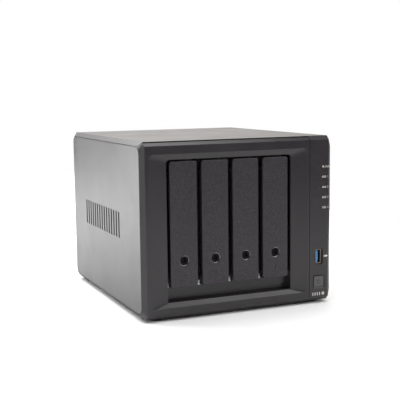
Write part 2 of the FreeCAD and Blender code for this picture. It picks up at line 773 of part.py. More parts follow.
# ---- Cage and boards ----------------------------------------------------------------------------
def drive_cage():
    """The sheet-steel cage: four walls, guide ribs between the bays, feet and latch strikes."""
    x0, x1 = bay_center - cage_half, bay_center + cage_half
    sheet = cage_sheet
    solids = [
        box(x0 - sheet, x1 + sheet, cage_front, backplane_y, cage_low - sheet, cage_low),
        box(x0 - sheet, x1 + sheet, cage_front, backplane_y, cage_high, cage_high + sheet),
    ]
    for inner, outer, foot in ((x0, x0 - sheet, x0 - cage_foot), (x1, x1 + sheet, x1 + cage_foot)):
        a, b = sorted((inner, outer))
        solids.append(box(a, b, cage_front, backplane_y, inner_floor, cage_high + sheet))
        a, b = sorted((inner, foot))
        solids.append(box(a, b, cage_front + 8, backplane_y, inner_floor, inner_floor + sheet))
    for x in gap_centers:
        solids.append(box(x - rib_half, x + rib_half, cage_front, backplane_y, cage_low, cage_low + rib_height))
        solids.append(box(x - rib_half, x + rib_half, cage_front + upper_rib_setback, backplane_y,
                          cage_high - rib_height, cage_high))
        a = max(x - strike_width / 2, bay_center - opening_half + slide_clearance)
        b = min(x + strike_width / 2, bay_center + opening_half - slide_clearance)
        solids.append(box(a, b, cage_front - strike_reach, cage_front + 1, cage_low,
                          hook_low() - slide_clearance))
    cuts = []
    for i in range(5):
        y = cage_front + 14 + i * 28
        cuts.append(rounded_box(x0 - 10, x1 + 10, y, y + 20, cage_low + 18, cage_high - 18, 5.0, X_AXIS))
        cuts.append(rounded_box(x0 - 10, x1 + 10, y, y + 20, inner_floor + 6, cage_low - sheet - 4, 3.0, X_AXIS))
    for x, y in cage_screw_places():
        cuts.append(rod(x, y, inner_floor - 1, screw_radius + part_clearance, 5, Z_AXIS))
    for x, z in backplane_screw_places():
        cuts.append(rod(x, backplane_y - screw_length, z, screw_radius, screw_length + 1))
    for x in bay_centers:
        for y in range(4):
            y0 = cage_front + 20 + y * 34
            cuts.append(rounded_box(x - 9, x + 9, y0, y0 + 22, cage_low - 3, cage_low + 1, 4.0, Z_AXIS))
            cuts.append(rounded_box(x - 9, x + 9, y0, y0 + 22, cage_high - 1, cage_high + 3, 4.0, Z_AXIS))
    return join(solids).cut(cuts)


def cage_screw_places():
    """The x and y of the screws that hold the cage's feet to the floor."""
    x0 = bay_center - cage_half - cage_foot + 4
    x1 = bay_center + cage_half + cage_foot - 4
    return [(x, y) for x in (x0, x1) for y in (cage_front + 14, backplane_y - 6)]


def backplane_screw_places():
    """The x and z of the screws that hold the backplane to the cage's outer ribs."""
    z0, z1 = cage_low + rib_height / 2, cage_high - rib_height / 2
    return [(x, z) for x in (gap_centers[0], gap_centers[-1]) for z in (z0, z1)]


def backplane_board():
    """The upright board behind the drives, cut open between its sockets for air."""
    x0, x1 = bay_center - cage_half, bay_center + cage_half
    y0, y1 = backplane_y, backplane_y + board_thickness
    board = box(x0, x1, y0, y1, cage_low + 1, cage_high - 1)
    cuts = []
    for x in bay_centers:
        cuts.append(rounded_box(x - 9, x + 9, y0 - 1, y1 + 1, face_middle + 4, cage_high - rib_height - 6,
                                3.0, Y_AXIS))
        cuts.append(rounded_box(x - 11, x + 1, y0 - 1, y1 + 1, cage_low + rib_height + 8, face_middle - 6,
                                3.0, Y_AXIS))
    for x, z in backplane_screw_places():
        cuts.append(rod(x, y0 - 1, z, screw_radius + part_clearance, board_thickness + 2))
    return board.cut(cuts)


def board_screw_places():
    """The x and y of the screws that hold the mainboard to the floor's posts."""
    x0, x1 = bay_center - mainboard_half + 6, bay_center + mainboard_half - 6
    y0, y1 = mainboard_back - mainboard_length + 6, mainboard_back - 30
    return [(x, y) for x in (x0, x1) for y in (y0, y1)]


def mainboard():
    """The main circuit board above the floor, with its soldered parts."""
    x0, x1 = bay_center - mainboard_half, bay_center + mainboard_half
    y0, y1 = mainboard_back - mainboard_length, mainboard_back
    z1 = port_z
    board = box(x0, x1, y0, y1, mainboard_z, z1)
    parts = [
        box(x0 + 12, x0 + 26, y0 + 30, y0 + 44, z1 - 0.5, z1 + 2),
        box(x0 + 32, x0 + 44, y0 + 24, y0 + 36, z1 - 0.5, z1 + 1.6),
        box(x0 + 10, x0 + 14, y0 + 60, y0 + 100, z1 - 0.5, z1 + 5),
        box(x1 - 34, x1 - 14, y0 + 134, y0 + 146, z1 - 0.5, z1 + 2.4),
    ]
    for i in range(4):
        parts.append(rod(x1 - 12, y0 + 18 + 12 * i, z1 - 0.5, 4, 11, Z_AXIS))
        parts.append(box(x0 + 52 + 12 * i, x0 + 60 + 12 * i, y0 + 14, y0 + 22, z1 - 0.5, z1 + 3))
    board = join([board] + parts)
    cuts = [rod(x, y, mainboard_z - 1, screw_radius + part_clearance, board_thickness + 2, Z_AXIS)
            for x, y in board_screw_places()]
    return board.cut(cuts)


def heatsink():
    """The finned block that stands on the processor."""
    x, y = bay_center + 14, mainboard_back - 66
    block = box(x - 24, x + 24, y - 24, y + 24, port_z, port_z + 15)
    cuts = [box(x - 22.4 + 4 * i, x - 19.8 + 4 * i, y - 25, y + 25, port_z + 3, port_z + 16)
            for i in range(11)]
    return block.cut(cuts)


def memory_module():
    """A memory stick lying flat above the mainboard, in its socket."""
    x0 = bay_center - mainboard_half + 18
    y0 = mainboard_back - mainboard_length + 56
    stick = box(x0, x0 + 30, y0, y0 + 67.6, port_z + 3, port_z + 4.2)
    parts = [box(x0 + 8, x0 + 22, y0 + 5 + 15 * i, y0 + 16 + 15 * i, port_z + 4, port_z + 5.2) for i in range(4)]
    socket = box(x0 - 3, x0 + 3, y0 - 1, y0 + 68.6, port_z, port_z + 5.4)
    return join([stick, socket] + parts)


# ---- Rear ---------------------------------------------------------------------------------------
def port_places():
    """The x of each rear socket's middle, from one side to the other."""
    return {
        "inlet": bay_center - 52,
        "reset": bay_center - 38,
        "usb": bay_center - 24,
        "esata": bay_center - 4,
        "lan_1": bay_center + 18,
        "lan_2": bay_center + 37,
    }


def port_blocks(margin):
    """The outline that each rear socket needs in the rear panel."""
    x = port_places()
    sizes = {"inlet": (13, 13), "usb": (14.6, 7.2), "esata": (15, 7), "lan_1": (16, 13.6), "lan_2": (16, 13.6)}
    blocks = {}
    for name, (wide, high) in sizes.items():
        blocks[name] = (x[name] - wide / 2 - margin, x[name] + wide / 2 + margin, port_z - margin,
                        port_z + high + margin)
    return blocks


def lan_port(name):
    """One network socket with its stepped cavity."""
    x0, x1, z0, z1 = port_blocks(0)[name]
    x = (x0 + x1) / 2
    body = box(x0, x1, rear_outer - 21, rear_outer, z0, z1)
    cavity = box(x - 5.9, x + 5.9, rear_outer - 14, rear_outer + 1, z1 - 10.2, z1 - 2.0)
    step = box(x - 3.2, x + 3.2, rear_outer - 14, rear_outer + 1, z0 + 1.4, z1 - 9)
    return body.cut([cavity, step])


def usb_rear_port():
    """The rear USB socket with its tongue."""
    x0, x1, z0, z1 = port_blocks(0)["usb"]
    body = box(x0, x1, rear_outer - 14, rear_outer, z0, z1)
    body = body.cut(box(x0 + 0.6, x1 - 0.6, rear_outer - 12, rear_outer + 1, z0 + 0.8, z1 - 0.8))
    return join([body, box(x0 + 1.6, x1 - 1.6, rear_outer - 13, rear_outer - 1, z1 - 3.4, z1 - 1.6)])


def esata_port():
    """The rear eSATA socket with its L-shaped tongue."""
    x0, x1, z0, z1 = port_blocks(0)["esata"]
    body = box(x0, x1, rear_outer - 14, rear_outer, z0, z1)
    body = body.cut(box(x0 + 1, x1 - 1, rear_outer - 10, rear_outer + 1, z0 + 1, z1 - 1))
    tongue = box(x0 + 3, x1 - 3, rear_outer - 11, rear_outer - 1, z0 + 2.4, z0 + 3.6)
    return join([body, tongue, box(x0 + 3, x0 + 4.2, rear_outer - 11, rear_outer - 1, z0 + 3, z0 + 5)])


def power_inlet():
    """The round four-pin low-voltage inlet."""
    x0, x1, z0, z1 = port_blocks(0)["inlet"]
    x, z = (x0 + x1) / 2, (z0 + z1) / 2
    body = box(x0, x1, rear_outer - 14, rear_outer, z0, z1)
    body = body.cut(rod(x, rear_outer - 9, z, 5.0, 10))
    pins = []
    for i in range(4):
        angle = math.radians(45 + 90 * i)
        pins.append(rod(x + 2.2 * math.cos(angle), rear_outer - 10, z + 2.2 * math.sin(angle), 0.6, 8))
    return join([body] + pins)


def reset_button():
    """A small recessed push button between the rear sockets."""
    x = port_places()["reset"]
    z = port_z + 4
    return join([rod(x, rear_outer - 8.2, z, 1.2, 8), rod(x, rear_inner - 2.4, z, 2.2, 1.4)])


def fan_centers():
    """The x of the two fans' middles."""
    half = fan_size / 2 + fan_gap / 2
    return [-half, half]


def fan_screw_places(x):
    """The x and z of one fan's four corner holes."""
    reach = fan_size / 2 - fan_hole_inset
    return [(x + a, fan_center_height + b) for a in (-reach, reach) for b in (-reach, reach)]


def fan_frame(x):
    """A square fan frame with corner holes, four struts and the bearing tube."""
    half = fan_size / 2
    z = fan_center_height
    y0, y1 = rear_inner - fan_depth, rear_inner
    block = rounded_box(x - half, x + half, y0, y1, z - half, z + half, 4.0, Y_AXIS)
    block = block.cut(rod(x, y0 - 1, z, half - fan_bore_wall, fan_depth + 2))
    struts = []
    for angle in (25, 115, 205, 295):
        strut = box(x + 5, x + half - fan_bore_wall + 0.6, y1 - 3, y1, z - 1.6, z + 1.6)
        strut.rotate(Vector(x, 0, z), Y_AXIS, angle)
        struts.append(strut)
    base = rod(x, y1 - 3, z, fan_hub_radius, 3)
    tube = rod(x, y0 + 6, z, fan_shaft_radius + 2.5, fan_depth - 8)
    frame = join([block, base, tube] + struts)
    cuts = [rod(x, y0 + 5, z, fan_shaft_radius + running_clearance, fan_depth - 6.5)]
    for hole_x, hole_z in fan_screw_places(x):
        cuts.append(rod(hole_x, y0 - 1, hole_z, fan_screw_radius + part_clearance, fan_depth + 2))
    for side in (-1, 1):
        for end in (-1, 1):
            a, b = sorted((x + side * (half + 1), x + side * (half - 8)))
            c, d = sorted((z + end * (half + 1), z + end * (half - 8)))
            cuts.append(box(a, b, y0 + 4, y1 - 4, c, d))
    return frame.cut(cuts)


def fan_rotor(x):
    """A fan rotor: a cup, its shaft and a ring of twisted blades."""
    z = fan_center_height
    y0 = rear_inner - fan_depth + 1.5
    y1 = rear_inner - 4.0
    tip = fan_size / 2 - fan_bore_wall - blade_tip_gap
    cup = rod(x, y0, z, fan_hub_radius, y1 - y0)
    cup = cup.makeFillet(2.0, face_edges(cup, Y_AXIS, y0))
    cup = cup.cut(rod(x, y0 + 2.0, z, fan_hub_radius - 1.5, y1 - y0))
    shaft = rod(x, y0 + 1, z, fan_shaft_radius, fan_depth - 8)
    blades = []
    middle = (y0 + y1) / 2
    for i in range(blade_count):
        sections = []
        for radius, chord, pitch in ((fan_hub_radius - 1.0, 15.0, 50), ((fan_hub_radius + tip) / 2, 21.0, 38),
                                     (tip, 27.0, 29)):
            tilt = math.radians(pitch)
            along = Vector(math.cos(tilt), math.sin(tilt), 0) * (chord / 2)
            across = Vector(-math.sin(tilt), math.cos(tilt), 0) * 0.7
            origin = Vector(x, middle, z + radius)
            points = [origin.add(along), origin.add(across), origin.sub(along), origin.sub(across)]
            sections.append(Part.makePolygon(points + points[:1]))
        blade = Part.makeLoft(sections, True, True)
        blade.rotate(Vector(x, 0, z), Y_AXIS, 360 / blade_count * i)
        blades.append(blade)
    swept = Part.makeCylinder(tip, y1 - y0, Vector(x, y0, z), Y_AXIS)
    swept = swept.cut(rod(x, y0 - 1, z, fan_hub_radius - 1.2, y1 - y0 + 2))
    blades = [blade.common(swept) for blade in blades]
    return join([cup, shaft] + blades)


def fan_grille(x):
    """The ring-shaped slots in the rear panel in front of one fan."""
    z = fan_center_height
    rings = []
    radius = fan_size / 2 - fan_bore_wall - grille_slot / 2 - 1
    while radius > fan_hub_radius * 0.5:
        ring = rod(x, rear_inner - 1, z, radius + grille_slot / 2, rear_sheet + 2)
        rings.append(ring.cut(rod(x, rear_inner - 2, z, radius - grille_slot / 2, rear_sheet + 4)))
        radius -= grille_slot + grille_bar
    spokes = []
    for i in range(4):
        spoke = box(x - fan_size, x + fan_size, rear_inner - 2, rear_outer + 2, z - grille_bar, z + grille_bar)
        spoke.rotate(Vector(x, 0, z), Y_AXIS, 22.5 + 45 * i)
        spokes.append(spoke)
    return [ring.cut(spokes) for ring in rings]


def rear_panel():
    """The stamped rear sheet with two fan grilles, socket cut-outs and a cable-lock slot."""
    half = inner_side - panel_clearance
    sheet = rounded_box(-half, half, rear_inner, rear_outer, inner_floor + panel_clearance,
                        inner_top - panel_clearance, 0.8, Y_AXIS)
    cuts = []
    for x in fan_centers():
        cuts += fan_grille(x)
        for hole_x, hole_z in fan_screw_places(x):
            cuts.append(rod(hole_x, rear_inner - 1, hole_z, fan_screw_radius + part_clearance, rear_sheet + 2))
    for x0, x1, z0, z1 in port_blocks(part_clearance).values():
        cuts.append(box(x0, x1, rear_inner - 1, rear_outer + 1, z0, z1))
    cuts.append(rod(port_places()["reset"], rear_inner - 1, port_z + 4, 1.5, rear_sheet + 2))
    for x, z in rear_screw_places():
        cuts.append(rod(x, rear_inner - 1, z, screw_radius + part_clearance, rear_sheet + 2))
    cuts.append(rounded_box(right - 34, right - 27, rear_inner - 1, rear_outer + 1, 22, 25, 1.2, Y_AXIS))
    for i in range(16):
        x = (i - 7.5) * 11
        cuts.append(rounded_box(x - 4, x + 4, rear_inner - 1, rear_outer + 1, 36, 39, 1.4, Y_AXIS))
    return sheet.cut(cuts)


def pan_screw(x, y, z, axis, radius, head_radius, length):
    """A pan-head screw whose head sits on the point given and whose axis points out of the head."""
    head = Part.makeCylinder(head_radius, screw_head_height, Vector(x, y, z), axis)
    shank = Part.makeCylinder(radius, length, Vector(x, y, z) - axis * length, axis)
    tip = Vector(x, y, z) + axis * screw_head_height
    arms = []
    for turn in (0, 90):
        slot = Part.makeBox(head_radius, 0.6, 1.0, Vector(-head_radius / 2, -0.3, -0.6))
        slot.rotate(Vector(0, 0, 0), Z_AXIS, turn)
        slot.Placement = FreeCAD.Placement(tip, FreeCAD.Rotation(Z_AXIS, axis)).multiply(slot.Placement)
        arms.append(slot)
    return join([head, shank]).cut(arms)


def machine_screws():
    """The small screws of the cage, the boards and the rear panel."""
    screws = []
    for x, y in cage_screw_places():
        screws.append(pan_screw(x, y, inner_floor + cage_sheet, Z_AXIS, screw_radius, screw_head_radius,
                                cage_sheet + floor_wall / 2))
    for x, y in board_screw_places():
        screws.append(pan_screw(x, y, port_z, Z_AXIS, screw_radius, screw_head_radius,
                                board_thickness + screw_length))
    for x, z in backplane_screw_places():
        screws.append(pan_screw(x, backplane_y + board_thickness, z, Y_AXIS, screw_radius, screw_head_radius,
                                board_thickness + screw_length))
    for x, z in rear_screw_places():
        screws.append(pan_screw(x, rear_outer, z, Y_AXIS, screw_radius, screw_head_radius, rear_sheet + 8))
    return screws


def fan_screws():
    """The eight coarse screws that hold the fans to the rear panel."""
    return [pan_screw(hole_x, rear_outer, hole_z, Y_AXIS, fan_screw_radius, fan_screw_head, 12)
            for x in fan_centers() for hole_x, hole_z in fan_screw_places(x)]


# ---- Everything, one node at a time -------------------------------------------------------------
def build_case():
    """Writes the outer shells, the floor and its feet."""
    envelope = case_envelope()
    save("top_cover", top_cover(envelope))
    save("left_side_panel", side_panel(-1))
    save("right_side_panel", side_panel(1))
    save("base_pan", base_pan(envelope))
    save("front_bezel", front_bezel(envelope))
    save("control_strip", control_strip(envelope))
    save("service_lids", [service_lid(x) for x in lid_places()])
    save("rubber_feet", [rubber_foot(x, y) for x in (-foot_x, foot_x) for y in (-foot_y, foot_y)])


def build_front():
    """Writes what sits behind the control strip."""
    usb_y = front + usb_setback
    save("indicator_lenses", [indicator_lens(z) for z in lens_z])
    save("power_button", power_button())
    save("power_switch", power_switch())
    save("usb_front_shell", usb_shell(strip_middle, usb_z, usb_y, usb_y + usb_depth, usb_width / 2, usb_height / 2))
    save("usb_front_tongue", usb_front_tongue())
    save("front_board", front_board())


def build_bays():
    """Writes the tray, handle, pin, latch, lock, clips and drive of every bay."""
    for number, x in enumerate(bay_centers, start=1):
        save(f"tray_frame_{number}", tray_frame(x))
        save(f"tray_handle_{number}", tray_handle(x))
        save(f"handle_pin_{number}", handle_pin(x))
        save(f"handle_latch_{number}", handle_latch(x))
        save(f"tray_lock_{number}", tray_lock(x))
        save(f"drive_clips_{number}", drive_clips(x))
        save(f"hard_drive_{number}", hard_drive(x))


def build_inside():
    """Writes the cage, the boards and what stands on them."""
    save("drive_cage", drive_cage())
    save("backplane_board", backplane_board())
    save("drive_sockets", [drive_socket(x) for x in bay_centers])
    save("mainboard", mainboard())
    save("heatsink", heatsink())
    save("memory_module", memory_module())


def build_rear():
    """Writes the rear panel, the fans, the sockets and the screws."""
    save("rear_panel", rear_panel())
    for side, x in zip(("left", "right"), fan_centers()):
        save(f"fan_frame_{side}", fan_frame(x))
        save(f"fan_rotor_{side}", fan_rotor(x))
    save("lan_ports", [lan_port("lan_1"), lan_port("lan_2")])
    save("usb_rear_port", usb_rear_port())
    save("esata_port", esata_port())
    save("power_inlet", power_inlet())
    save("reset_button", reset_button())
    save("fan_screws", fan_screws())
    save("machine_screws", machine_screws())


os.makedirs("parts", exist_ok=True)
build_case()
build_front()
build_bays()
build_inside()
build_rear()
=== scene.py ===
"""Finishes, printing, small fittings and a studio for a packed four-bay network storage box.

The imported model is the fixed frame. Everything here is in metres in its frame: +Z up, X across the
front and -Y towards the front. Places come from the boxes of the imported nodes.
"""

import logging
import math
from contextlib import contextmanager
from dataclasses import dataclass, field
from enum import Enum
from typing import Iterator, Optional, Sequence

import bmesh
import bpy
from mathutils import Matrix, Vector


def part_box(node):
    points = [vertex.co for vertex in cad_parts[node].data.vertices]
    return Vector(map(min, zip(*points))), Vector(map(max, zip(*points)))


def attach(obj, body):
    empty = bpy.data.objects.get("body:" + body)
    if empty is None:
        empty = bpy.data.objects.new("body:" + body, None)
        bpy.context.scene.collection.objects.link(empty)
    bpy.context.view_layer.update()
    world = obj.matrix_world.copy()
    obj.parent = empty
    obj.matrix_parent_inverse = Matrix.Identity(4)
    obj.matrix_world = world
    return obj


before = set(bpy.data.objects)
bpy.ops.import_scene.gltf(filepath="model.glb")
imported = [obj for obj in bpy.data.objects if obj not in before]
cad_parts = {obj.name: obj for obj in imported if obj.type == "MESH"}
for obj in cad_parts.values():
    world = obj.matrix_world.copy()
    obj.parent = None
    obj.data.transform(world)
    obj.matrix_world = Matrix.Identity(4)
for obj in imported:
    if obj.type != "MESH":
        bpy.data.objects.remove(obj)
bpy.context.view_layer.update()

LOG = logging.getLogger("storage_box")
MM = 0.001
BAYS = (1, 2, 3, 4)


# ---- Colour and shader nodes --------------------------------------------------------------------
def linear(code: str) -> tuple[float, float, float, float]:
    """Turns an sRGB hex code into linear light.

    Args:
        code: Six hex digits, such as "3c3a3c".

    Returns:
        Red, green, blue and an alpha of one.
    """
    parts = [int(code[i:i + 2], 16) / 255 for i in (0, 2, 4)]
    return tuple(p / 12.92 if p <= 0.04045 else ((p + 0.055) / 1.055) ** 2.4 for p in parts) + (1.0,)


def add_node(tree: bpy.types.NodeTree, kind: str, links: Optional[dict] = None,
             inputs: Optional[dict] = None, **settings) -> bpy.types.Node:
    """Adds one shader node with its settings, values and links.

    Args:
        tree: The node tree of a material or the world.
        kind: The node's type, such as "ShaderNodeTexNoise".
        links: Input names or numbers to the output sockets that feed them.
        inputs: Input names or numbers to plain values.
        settings: Fields of the node itself.

    Returns:
        The new node.
    """
    node = tree.nodes.new(kind)
    for name, value in settings.items():
        setattr(node, name, value)
    for name, value in (inputs or {}).items():
        node.inputs[name].default_value = value
    for name, socket in (links or {}).items():
        tree.links.new(socket, node.inputs[name])
    return node


def blank_material(name: str) -> tuple[bpy.types.Material, bpy.types.NodeTree]:
    """Makes a material with an empty node tree.

    Args:
        name: What the real material is.

    Returns:
        The material and its tree.
    """
    material = bpy.data.materials.new(name)
    material.use_nodes = True
    material.node_tree.nodes.clear()
    return material, material.node_tree


def noise_in_mm(tree: bpy.types.NodeTree, size_mm: float, detail: float = 2.0,
                roughness: float = 0.5) -> bpy.types.Node:
    """Adds a noise whose features are about a given size on the object.

    Args:
        tree: The material's tree.
        size_mm: The width of one feature.
        detail: How many finer octaves it has.
        roughness: How strong the finer octaves are.

    Returns:
        The noise node.
    """
    place = add_node(tree, "ShaderNodeTexCoord")
    return add_node(tree, "ShaderNodeTexNoise", links={"Vector": place.outputs["Object"]},
                    inputs={"Scale": 1 / (size_mm * MM), "Detail": detail, "Roughness": roughness})


@dataclass(frozen=True)
class MouldedPlastic:
    """Injection-moulded plastic whose tool was spark eroded, which leaves an even matt grain.

    The grain spreads highlights into a soft sheen and flecks the colour slightly.
    """

    name: str
    colour: str
    fleck: str
    roughness: float
    grain_mm: float
    grain_depth_mm: float
    fleck_amount: float = 1.0
    ior: float = 1.49
    cloud_mm: float = 38.0
    roughness_swing: float = 0.03

    def build(self) -> bpy.types.Material:
        """Builds the material.

        Returns:
            The new material.
        """
        material, tree = blank_material(self.name)
        grain = noise_in_mm(tree, self.grain_mm, 3.0, 0.6)
        cloud = noise_in_mm(tree, self.cloud_mm, 2.0)
        fleck = add_node(tree, "ShaderNodeMapRange", links={"Value": grain.outputs["Fac"]},
                         inputs={"From Min": 0.42, "From Max": 0.72, "To Max": self.fleck_amount})
        colour = add_node(tree, "ShaderNodeMix", data_type="RGBA", links={0: fleck.outputs["Result"]},
                          inputs={6: linear(self.colour), 7: linear(self.fleck)})
        rough = add_node(tree, "ShaderNodeMapRange", links={"Value": cloud.outputs["Fac"]},
                         inputs={"From Min": 0.3, "From Max": 0.7,
                                 "To Min": self.roughness - self.roughness_swing,
                                 "To Max": self.roughness + self.roughness_swing})
        bump = add_node(tree, "ShaderNodeBump", links={"Height": grain.outputs["Fac"]},
                        inputs={"Strength": 1.0, "Distance": self.grain_depth_mm * MM})
        shader = add_node(tree, "ShaderNodeBsdfPrincipled",
                          links={"Base Color": colour.outputs[2], "Roughness": rough.outputs["Result"],
                                 "Normal": bump.outputs["Normal"]},
                          inputs={"IOR": self.ior})
        add_node(tree, "ShaderNodeOutputMaterial", links={"Surface": shader.outputs[0]})
        return material


@dataclass(frozen=True)
class SheetMetal:
    """Rolled or plated metal: fine streaks from rolling along one axis, and a faint cloudy spangle."""

    name: str
    colour: str
    shade: str
    roughness: float
    streak_mm: tuple[float, float, float]
    metallic: float = 1.0
    depth_mm: float = 0.02
    spangle_mm: float = 9.0
    roughness_swing: float = 0.06

    def build(self) -> bpy.types.Material:
        """Builds the material.

        Returns:
            The new material.
        """
        material, tree = blank_material(self.name)
        place = add_node(tree, "ShaderNodeTexCoord")
        stretch = add_node(tree, "ShaderNodeMapping", links={"Vector": place.outputs["Object"]},
                           inputs={"Scale": [1 / (s * MM) for s in self.streak_mm]})
        streak = add_node(tree, "ShaderNodeTexNoise", links={"Vector": stretch.outputs[0]},
                          inputs={"Scale": 1.0, "Detail": 3.0})
        spangle = add_node(tree, "ShaderNodeTexVoronoi", links={"Vector": place.outputs["Object"]},
                           inputs={"Scale": 1 / (self.spangle_mm * MM)})
        tint = add_node(tree, "ShaderNodeSeparateColor", links={"Color": spangle.outputs["Color"]})
        blend = add_node(tree, "ShaderNodeMath", operation="MULTIPLY_ADD", links={0: tint.outputs[0],
                         2: streak.outputs["Fac"]}, inputs={1: 0.35})
        colour = add_node(tree, "ShaderNodeMix", data_type="RGBA", links={0: blend.outputs[0]},
                          inputs={6: linear(self.shade), 7: linear(self.colour)})
        rough = add_node(tree, "ShaderNodeMapRange", links={"Value": streak.outputs["Fac"]},
                         inputs={"From Min": 0.3, "From Max": 0.7,
                                 "To Min": self.roughness - self.roughness_swing,
                                 "To Max": self.roughness + self.roughness_swing})
        bump = add_node(tree, "ShaderNodeBump", links={"Height": streak.outputs["Fac"]},
                        inputs={"Strength": 0.4, "Distance": self.depth_mm * MM})
        shader = add_node(tree, "ShaderNodeBsdfPrincipled",
                          links={"Base Color": colour.outputs[2], "Roughness": rough.outputs["Result"],
                                 "Normal": bump.outputs["Normal"]}, inputs={"Metallic": self.metallic})
        add_node(tree, "ShaderNodeOutputMaterial", links={"Surface": shader.outputs[0]})
        return material


@dataclass(frozen=True)
class CircuitBoard:
    """Glass-fibre board under solder mask: a glossy film over a faint lattice of copper tracks."""

    name: str
    colour: str
    track: str
    track_mm: float

    def build(self) -> bpy.types.Material:
        """Builds the material.

        Returns:
            The new material.
        """
        material, tree = blank_material(self.name)
        place = add_node(tree, "ShaderNodeTexCoord")
        tracks = add_node(tree, "ShaderNodeTexVoronoi", distance="MANHATTAN", feature="F1",
                          links={"Vector": place.outputs["Object"]},
                          inputs={"Scale": 1 / (self.track_mm * 4 * MM), "Randomness": 0.35})
        edge = add_node(tree, "ShaderNodeMapRange", links={"Value": tracks.outputs["Distance"]},
                        inputs={"From Min": 0.44, "From Max": 0.5})
        colour = add_node(tree, "ShaderNodeMix", data_type="RGBA", links={0: edge.outputs["Result"]},
                          inputs={6: linear(self.colour), 7: linear(self.track)})
        bump = add_node(tree, "ShaderNodeBump", links={"Height": edge.outputs["Result"]},
                        inputs={"Strength": 0.5, "Distance": 0.04 * MM})
        shader = add_node(tree, "ShaderNodeBsdfPrincipled",
                          links={"Base Color": colour.outputs[2], "Normal": bump.outputs["Normal"]},
                          inputs={"Roughness": 0.28, "IOR": 1.52})
        add_node(tree, "ShaderNodeOutputMaterial", links={"Surface": shader.outputs[0]})
        return material


@dataclass(frozen=True)
class SmokedLens:
    """Smoked polycarbonate: dark and satin, level with the strip, with a faint wave from the mould."""

    name: str
    colour: str
    roughness: float = 0.34
    wave_mm: float = 2.5

    def build(self) -> bpy.types.Material:
        """Builds the material.

        Returns:
            The new material.
        """
        material, tree = blank_material(self.name)
        wave = noise_in_mm(tree, self.wave_mm, 1.0)
        deep = [part * 0.6 for part in linear(self.colour)[:3]] + [1.0]
        colour = add_node(tree, "ShaderNodeMix", data_type="RGBA", links={0: wave.outputs["Fac"]},
                          inputs={6: deep, 7: linear(self.colour)})
        bump = add_node(tree, "ShaderNodeBump", links={"Height": wave.outputs["Fac"]},
                        inputs={"Strength": 0.2, "Distance": 0.02 * MM})
        shader = add_node(tree, "ShaderNodeBsdfPrincipled",
                          links={"Base Color": colour.outputs[2], "Normal": bump.outputs["Normal"]},
                          inputs={"Roughness": self.roughness, "IOR": 1.58})
        add_node(tree, "ShaderNodeOutputMaterial", links={"Surface": shader.outputs[0]})
        return material


